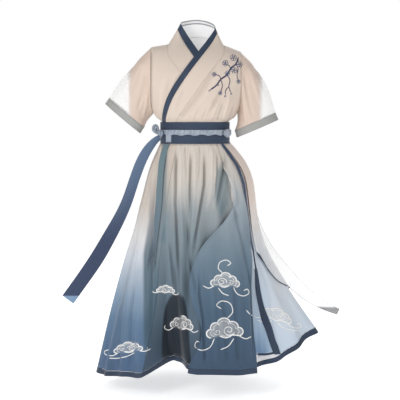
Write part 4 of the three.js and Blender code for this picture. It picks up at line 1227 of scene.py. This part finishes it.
def skirt_shape(obj):
    """Folds a skirt cloth and tints its drawn regions."""
    fold_skirt(obj)
    behind = "back" in obj.name
    drawn = BEHIND_DRAWN if behind else FRONT_DRAWN
    tint(obj, "fill", [outline for _, outline in drawn], behind=behind)
    for name, cloths, outlines, soft in DRAWN_TINTS:
        if obj.name.removeprefix("cloth_") in cloths:
            tint(obj, name, outlines, soft)


for node, (finish, slot, levels) in SKIRTS.items():
    cloth(node, CLOTH, finish, slot, levels=levels, shape=skirt_shape)
    hem = node.replace("skirt", "hem")
    cloth(hem, BINDING, navy_cloth, "navy_binding", shape=fold_skirt, offset=LOW_OFFSET, rounded=True)

# %% [markdown]
# Over the wearer's left hip lies a short overlay of fine cream cloth with a navy piping. Three
# ribbons lie on the skirt and two fly free. The ribbon that comes down over the overlay is
# navy with a pale edge.

# %% Overlay, ribbons and tails
two_tone = Finish("navy ribbon with a pale edge", Roughness=0.55, Sheen_Weight=0.2)
weave(two_tone)
pale_side = two_tone.kept("side").step(-0.35, -0.5)
two_tone.into("Base Color", two_tone.blend(pale_side, (44, 62, 92), (166, 182, 200)))

tail_dye = Finish("navy tail, lighter at its top", Roughness=0.5, Sheen_Weight=0.25)
_, _, below = weave(tail_dye)
tail_colour = tail_dye.blend(below.step(0.42, 0.86), (86, 108, 136), (36, 54, 86))
tail_colour = tail_dye.blend(below.step(1.028, 1.034), tail_colour, (118, 146, 178))
tail_dye.into("Base Color", tail_colour)
SLICES = 40
SLICE_REACH = 0.02


def two_sides(obj):
    """Folds with the skirt, and notes which side of the ribbon's middle each point is on."""
    points = places(obj)
    angle = around(points)
    down = -points[:, 2]
    steps = np.linspace(down.min(), down.max(), SLICES)
    slices = [angle[np.abs(down - step) < SLICE_REACH] for step in steps]
    low = np.interp(down, steps, [part.min() for part in slices])
    high = np.interp(down, steps, [part.max() for part in slices])
    fold_skirt(obj)
    note(obj, "side", (angle - low) / (high - low) - 0.5)


cloth("overlay", SHEER, overlay_cloth, "overlay_cloth", shape=fold_skirt)
cloth("ribbon_teal", CLOTH, teal_cloth, "teal_silk", levels=2, shape=fold_skirt, rounded=True)
cloth("ribbon_pale", CLOTH, two_tone, "sash_silk", levels=2, shape=two_sides, rounded=True)
cloth("ribbon_navy", CLOTH, navy_cloth, "navy_binding", levels=2, shape=fold_skirt, rounded=True)
cloth("tail_navy", CLOTH, tail_dye, "navy_binding", rounded=True)
cloth("tail_sheer", SHEER, tail_cloth, "organza", rounded=True)

# %% [markdown]
# Embroidery is worked in satin stitch: threads laid side by side across the line, which make a
# low rounded band with a silky sheen. Each drawn line is carried from the paper straight onto
# the cloth behind it. Where the cloth steps down at an edge, the band is cut there.

# %% Thread
LIFT = 0.15 * MM
BAND = [(-1.0, -0.25), (-0.62, 0.72), (0.0, 1.0), (0.62, 0.72), (1.0, -0.25), (0.0, -0.4)]
JUMP = 7 * MM
SATIN_PITCH = 0.8
SATIN_GROOVE_SHADE = 0.12
TAPER = 0.25
TAPER_REACH = 1.6


def thread(name, colour, other):
    """Satin stitch: threads across a band, with a silky sheen and painted shade between the threads."""
    finish = Finish(name, Roughness=0.42, Sheen_Weight=0.3, Sheen_Roughness=0.3)
    slant = finish.kept("along") + finish.kept("across") * 0.5
    ridge = (slant * (TAU / SATIN_PITCH)).sine() * 0.5 + 0.5
    where, _ = finish.place()
    colour = finish.blend(finish.noise(where, 60.0), colour, other)
    # Painted shade in the grooves between the threads.
    finish.into("Base Color", finish.darker(colour, ridge * SATIN_GROOVE_SHADE + (1 - SATIN_GROOVE_SHADE)))
    finish.bump(ridge, 0.6, 0.3 * MM)
    return finish


def surface_of(names):
    """One search tree for the outsides of several cloths."""
    points = []
    faces = []
    for name in names:
        mesh = made[name].data
        start = len(points)
        points.extend(vertex.co.copy() for vertex in mesh.vertices)
        faces.extend([start + k for k in face.vertices] for face in mesh.polygons)
    return BVHTree.FromPolygons(points, faces)


def landed(tree, line, behind=False, least=4):
    """A drawn line's places and normals on the cloth, in runs without a step."""
    eye = Vector((0, -EYE[1] if behind else EYE[1], EYE[2]))
    runs = [[]]
    for across, down in line:
        way = (Vector((across * MM, 0, -down * MM)) - eye).normalized()
        place, normal, _, _ = tree.ray_cast(eye, way)
        if place is None:
            runs.append([])
            continue
        if runs[-1] and abs(place.y - runs[-1][-1][0].y) > JUMP:
            runs.append([])
        runs[-1].append((place, normal))
    return [run for run in runs if len(run) >= least]


def tube(mesh, rings):
    """Joins rings of points in a row, and closes both ends."""
    count = len(rings[0])
    for one, two in zip(rings, rings[1:]):
        for k in range(count):
            n = (k + 1) % count
            mesh.faces.new((one[k], one[n], two[n], two[k]))
    mesh.faces.new(rings[0][::-1])
    mesh.faces.new(rings[-1])


def sewn(name, mesh, finish):
    """Makes a finished edit mesh into a piece of sewing that rides on the body."""
    bmesh.ops.recalc_face_normals(mesh, faces=mesh.faces)
    obj = linked(name, bpy.data.meshes.new(name))
    mesh.to_mesh(obj.data)
    mesh.free()
    obj.data.materials.append(finish.material)
    pick_only(obj)
    bpy.ops.object.shade_smooth()
    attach(obj, "root")
    print(name, len(obj.data.polygons), "faces")


def band(mesh, layers, run, width, rise):
    """Adds one raised band along a run of places, with one width or one for each place."""
    spots = np.array([place for place, _ in run])
    facing = np.array([normal for _, normal in run])
    for _ in range(2):
        facing[1:-1] = facing[:-2] + facing[1:-1] * 2 + facing[2:]
        facing /= np.linalg.norm(facing, axis=1)[:, None]
    way = np.gradient(spots, axis=0)
    side = np.cross(facing, way)
    side /= np.linalg.norm(side, axis=1)[:, None] + 1e-12
    lengths = run_of(spots) / MM
    width = np.broadcast_to(width, len(run))
    ends = np.minimum(lengths, lengths[-1] - lengths)
    taper = TAPER + (1 - TAPER) * smooth(0, TAPER_REACH * width, ends)
    rings = []
    for k in range(len(run)):
        ring = []
        for across, up in BAND:
            out = facing[k] * (rise * up * taper[k] * MM + LIFT)
            reach = side[k] * (across * width[k] / 2 * taper[k] * MM)
            vertex = mesh.verts.new(spots[k] + reach + out)
            vertex[layers[0]] = lengths[k]
            vertex[layers[1]] = across
            ring.append(vertex)
        rings.append(ring)
    tube(mesh, rings)


def bands(name, runs, rise, finish):
    """A piece made of raised bands: runs are pairs of places on the cloth and a width."""
    mesh = bmesh.new()
    layers = [mesh.verts.layers.float.new(layer) for layer in ("along", "across")]
    for run, width in runs:
        band(mesh, layers, run, width, rise)
    sewn(name, mesh, finish)


def satin(name, tree, lines, finish, rise=0.9, behind=False):
    """A piece of satin stitch: lines are pairs of spots and a width."""
    runs = [(run, width) for line, width in lines for run in landed(tree, line, behind)]
    bands(name, runs, rise, finish)


silver_thread = thread("pale thread", (252, 251, 248), (240, 241, 242))
front_skirt = surface_of([node for node in SKIRTS if "back" not in node])
back_skirt = surface_of([node for node in SKIRTS if "back" in node])
front_lines = [line for lines, _ in FRONT_DRAWN for line in lines]
behind_lines = [line for lines, _ in BEHIND_DRAWN for line in lines]
satin("clouds_front", front_skirt, front_lines, silver_thread)
satin("clouds_behind", back_skirt, behind_lines, silver_thread, behind=True)

# %% [markdown]
# The overlay's lower edge is finished with a navy piping, which carries on the line of the
# ribbon above it. A dark strip edges the sheer panel over the lifted hem. Both are narrow
# bands that lie on the cloth: the first follows the overlay's own edge, and the others are
# drawn on the paper.

# %% Piping and strips
FRONT_EDGE = 66
LOW_EDGE = 0.3
HIP = 600
PIPING = 4
PIPING_GROWS = 8
STRIP = 9.0


def edge_run(node, keep):
    """The longest stretch of a sheet's edge that keep() picks, as places and normals."""
    best = []
    for points, inwards, facing in edges[node]:
        chosen = keep(points, inwards)
        if chosen.all():
            continue
        turn = int(np.argmin(chosen))
        points, facing, chosen = (np.roll(column, -turn, 0) for column in (points, facing, chosen))
        run = []
        for place, normal, good in zip(points, facing, chosen):
            if not good:
                run = []
                continue
            run.append((place, normal))
            if len(run) > len(best):
                best = run
    return best


def overlay_rim(points, inwards):
    """The overlay's front edge and its lower edge, below the hip."""
    front = around(points) < FRONT_EDGE
    low = inwards[:, 2] > LOW_EDGE * np.linalg.norm(inwards, axis=1)
    return (low | front) & (points[:, 2] < -HIP * MM)


JOIN = [(226, 846), (232, 896), (241, 950)]
INNER_HEM = [(244, 1284), (286, 1284), (332, 1274)]
left_side = surface_of(["skirt_side_left"])
rim_run = edge_run("overlay", overlay_rim)
rim_height = np.array([place[2] for place, _ in rim_run])
rim_width = PIPING + PIPING_GROWS * smooth(-0.95, -0.84, rim_height)
bands("piping", [(rim_run, rim_width)], 1.8, navy_cloth)
satin("ribbon_join", left_side, [(curve(JOIN), STRIP)], navy_cloth, rise=3.4)
satin("inner_hem", left_side, [(curve(INNER_HEM), STRIP)], navy_cloth)

# %% [markdown]
# A short strap hangs from the knot at the wearer's right, over the waistband. It is what is left
# of the sash below the knot: a small rippled grid of points on the band, lifted and thickened.

# %% Strap
STRAP_ACROSS = np.linspace(-118, -97, 9)
STRAP_DOWN = np.linspace(431, 392, 14)
STRAP_RIPPLE = 0.5


def strap():
    """A strip of sash silk that hangs from the knot over the waistband."""
    tree = surface_of(["waistband"])
    mesh = bmesh.new()
    grid = []
    for down in STRAP_DOWN:
        row = []
        for across in STRAP_ACROSS:
            (place, normal), = landed(tree, [(across, down)], least=1)[0]
            out = 1 + STRAP_RIPPLE * math.sin(across * 0.9)
            row.append(mesh.verts.new(place + normal * out * MM))
        grid.append(row)
    for low, high in zip(grid, grid[1:]):
        for k in range(len(low) - 1):
            mesh.faces.new((low[k], low[k + 1], high[k + 1], high[k]))
    obj = linked("strap", bpy.data.meshes.new("strap"))
    mesh.to_mesh(obj.data)
    mesh.free()
    note_rim(obj)
    print("strap has", round(spread(obj), 5), "square metres")
    thicken(obj, SHEER, sash_cloth, offset=1.0, rounded=True)
    worn(obj, "strap")


strap()

# %% [markdown]
# The shoulder has a spray of plum blossom: one bent branch with side twigs, open flowers of
# five petals and a few buds, in ink blue and grey. A flower is one petal and one stamen, turned
# five times, and all of it is the same satin stitch as the clouds.

# %% Plum blossom
BRANCH = [(168, 96), (158, 122), (138, 140), (122, 166), (98, 184), (80, 208), (56, 226)]
TWIGS = [
    [(158, 122), (166, 142), (162, 168), (168, 190)],
    [(138, 140), (128, 128), (112, 124)],
    [(122, 166), (134, 186), (130, 212), (138, 236)],
    [(98, 184), (92, 170), (74, 164)],
    [(98, 184), (104, 208), (98, 234)],
    [(130, 212), (118, 226), (116, 246)],
]
FLOWERS = [
    (148, 98, 13), (116, 120, 12), (172, 124, 13), (150, 148, 12), (124, 160, 10), (72, 164, 9),
    (96, 238, 8), (168, 192, 8),
]
BUDS = [(54, 228), (140, 240), (116, 250), (164, 150), (88, 206)]
PETALS = 5
PETAL_LINE = 3.0
STAMEN_LINE = 1.4


def flower(across, down, radius):
    """The outlines of five petals and the stamens between them."""
    ring = np.linspace(0, TAU, 18)
    petal = np.stack([radius * (0.62 + 0.4 * np.cos(ring)), radius * 0.36 * np.sin(ring)], 1)
    stamen = np.array([[1.0, 0.0], [2.2, 0.3], [radius * 0.5, 0.0], [radius * 0.56, 0.2]])
    lines = []
    for k in range(PETALS):
        angle = math.degrees(TAU * k / PETALS + across)
        lines.append((turned(petal, angle) + [across, down], PETAL_LINE))
        lines.append((turned(stamen, angle + 180 / PETALS) + [across, down], STAMEN_LINE))
    return lines


ink_thread = thread("ink blue thread", (38, 46, 76), (58, 68, 100))
grey_thread = thread("grey blue thread", (58, 68, 104), (104, 114, 144))
top_front = surface_of(["front_over", "collar_band", "sleeve_left"])
branches = [(curve(BRANCH), 6.5)] + [(curve(twig), 3.6) for twig in TWIGS]
blossoms = [line for place in FLOWERS for line in flower(*place)]
blossoms += [(scroll(4.0, 90, 1.4) + bud, 2.2) for bud in BUDS]
satin("plum_branches", top_front, branches, ink_thread, rise=0.7)
satin("plum_flowers", top_front, blossoms, grey_thread, rise=0.8)

# %% [markdown]
# The sewing: a row of small hand stitches holds each binding, and the seams of the collar are
# topstitched. One stitch is a low grain of thread, and a row is worked out from the edge of
# the sheet that it runs along.

# %% Stitches
STITCH = 2.6 * MM
STITCH_GAP = 5.2 * MM
STITCH_WIDE = 0.45 * MM
INSET = 3.0 * MM
BAND_INSET = 3.4 * MM
GRAIN = [(-1.0, 0.05), (-0.6, 0.85), (0.0, 1.05), (0.6, 0.85), (1.0, 0.05)]
AROUND_GRAIN = [(-1, 0.4), (0, 1.4), (1, 0.4), (0, -0.6)]


def rows_along(node, keep, inset=INSET):
    """Places, ways and normals of stitches along the edges of a sheet that keep() picks."""
    found = []
    for columns in edges[node]:
        run = run_of(columns[0])
        marks = np.arange(STITCH_GAP, run[-1], STITCH_GAP)
        at, into, out = (np.stack([np.interp(marks, run, column[:, k]) for k in range(3)], 1)
                         for column in columns)
        way = np.gradient(at, axis=0)
        way /= np.linalg.norm(way, axis=1)[:, None]
        into -= way * (into * way).sum(1)[:, None] + out * (into * out).sum(1)[:, None]
        into /= np.linalg.norm(into, axis=1)[:, None] + 1e-12
        chosen = keep(at, into)
        found.append([column[chosen] for column in (at + into * inset, way, out)])
    return found


def stitches(name, rows, colour):
    """One piece that holds many stitches."""
    mesh = bmesh.new()
    for row in rows:
        for place, along, up in zip(*row):
            side = np.cross(up, along)
            rings = []
            for t, size in GRAIN:
                middle = place + along * (t * STITCH / 2)
                ring = [(side * across + up * lift) * STITCH_WIDE * size for across, lift in AROUND_GRAIN]
                rings.append([mesh.verts.new(middle + off) for off in ring])
            tube(mesh, rings)
    finish = Finish(name + " thread", Roughness=0.6)
    where, _ = finish.place()
    finish.into("Base Color", finish.darker(dye(*colour), finish.noise(where, 90.0) * 0.3 + 0.8))
    sewn(name, mesh, finish)


hem_rows = [row for node in SKIRTS
            for row in rows_along(node.replace("skirt", "hem"), lambda at, into: into[:, 2] < -0.5)]
stitches("stitches_hem", hem_rows, (96, 116, 148))
collar_rows = rows_along("collar_band", lambda at, into: np.abs(at[:, 2]) < WAIST_TOP * MM)
stitches("stitches_collar", collar_rows, (206, 190, 178))
band_rows = rows_along("waistband", lambda at, into: np.abs(into[:, 2]) > 0.5, BAND_INSET)
for side in ("right", "left"):
    band_rows += rows_along("cuff_" + side, lambda at, into: np.ones(len(at), bool))
stitches("stitches_bands", band_rows, (88, 108, 140))

# %% [markdown]

# %% [markdown]
# The stage is a pale sweep of paper, floor and wall in one, and large soft lamps. The camera
# stands where the photograph was taken from: far back, a little below the neck, looking
# slightly down.

# %% Stage, lamps and camera
FLOOR_Z = -1.40
FLOOR_SIZE = 60
FLOOR_GLOW = 0.6
SKY_LIGHT = 0.46
SKY_SEEN = 1.0
# Each lamp: its place, its size and its power.
LAMPS = {
    "key": ((-2.4, -3.6, 1.4), 1.8, 74),
    "fill": ((2.8, -3.0, 0.2), 3.0, 18),
    "back": ((0.8, 3.4, 1.6), 2.6, 40),
}
AIM = Vector((0, 0, -0.65))
CAMERA = (0.0018, -4.5, -0.315)
CAMERA_TILT = 4.38
CAMERA_TURN = -0.18
LENS = 102.08


def lamp(name, place, size, power):
    """A square soft lamp that looks at the middle of the garment."""
    obj = linked(name, bpy.data.lights.new(name, "AREA"))
    obj.data.size = size
    obj.data.energy = power
    obj.location = place
    obj.rotation_euler = (AIM - Vector(place)).to_track_quat("-Z", "Y").to_euler()


def floor():
    """A pale floor that gives a little light back, like a lit studio floor."""
    bpy.ops.mesh.primitive_plane_add(size=FLOOR_SIZE, location=(0, 0, FLOOR_Z))
    obj = bpy.context.object
    obj.name = "floor"
    paper = Finish("pale floor", Base_Color=(0.9, 0.9, 0.9, 1), Roughness=0.95,
                   Emission_Color=WHITE, Emission_Strength=FLOOR_GLOW)
    obj.data.materials.append(paper.material)


def sky():
    """White to look at, and softer as a light."""
    world = bpy.data.worlds.new("studio")
    bpy.context.scene.world = world
    world.use_nodes = True
    tree = world.node_tree
    path = tree.nodes.new("ShaderNodeLightPath")
    seen = tree.nodes.new("ShaderNodeMapRange")
    seen.inputs["To Min"].default_value = SKY_LIGHT
    seen.inputs["To Max"].default_value = SKY_SEEN
    tree.links.new(path.outputs["Is Camera Ray"], seen.inputs["Value"])
    back = tree.nodes["Background"]
    back.inputs["Color"].default_value = WHITE
    tree.links.new(seen.outputs["Result"], back.inputs["Strength"])


floor()
sky()
for name, row in LAMPS.items():
    lamp(name, *row)
bpy.context.scene.view_settings.view_transform = "Standard"

camera = linked("camera", bpy.data.cameras.new("camera"))
camera.location = CAMERA
camera.rotation_euler = (math.radians(90 - CAMERA_TILT), 0, math.radians(CAMERA_TURN))
camera.data.lens = LENS
camera.data.clip_end = 100
bpy.context.scene.camera = camera
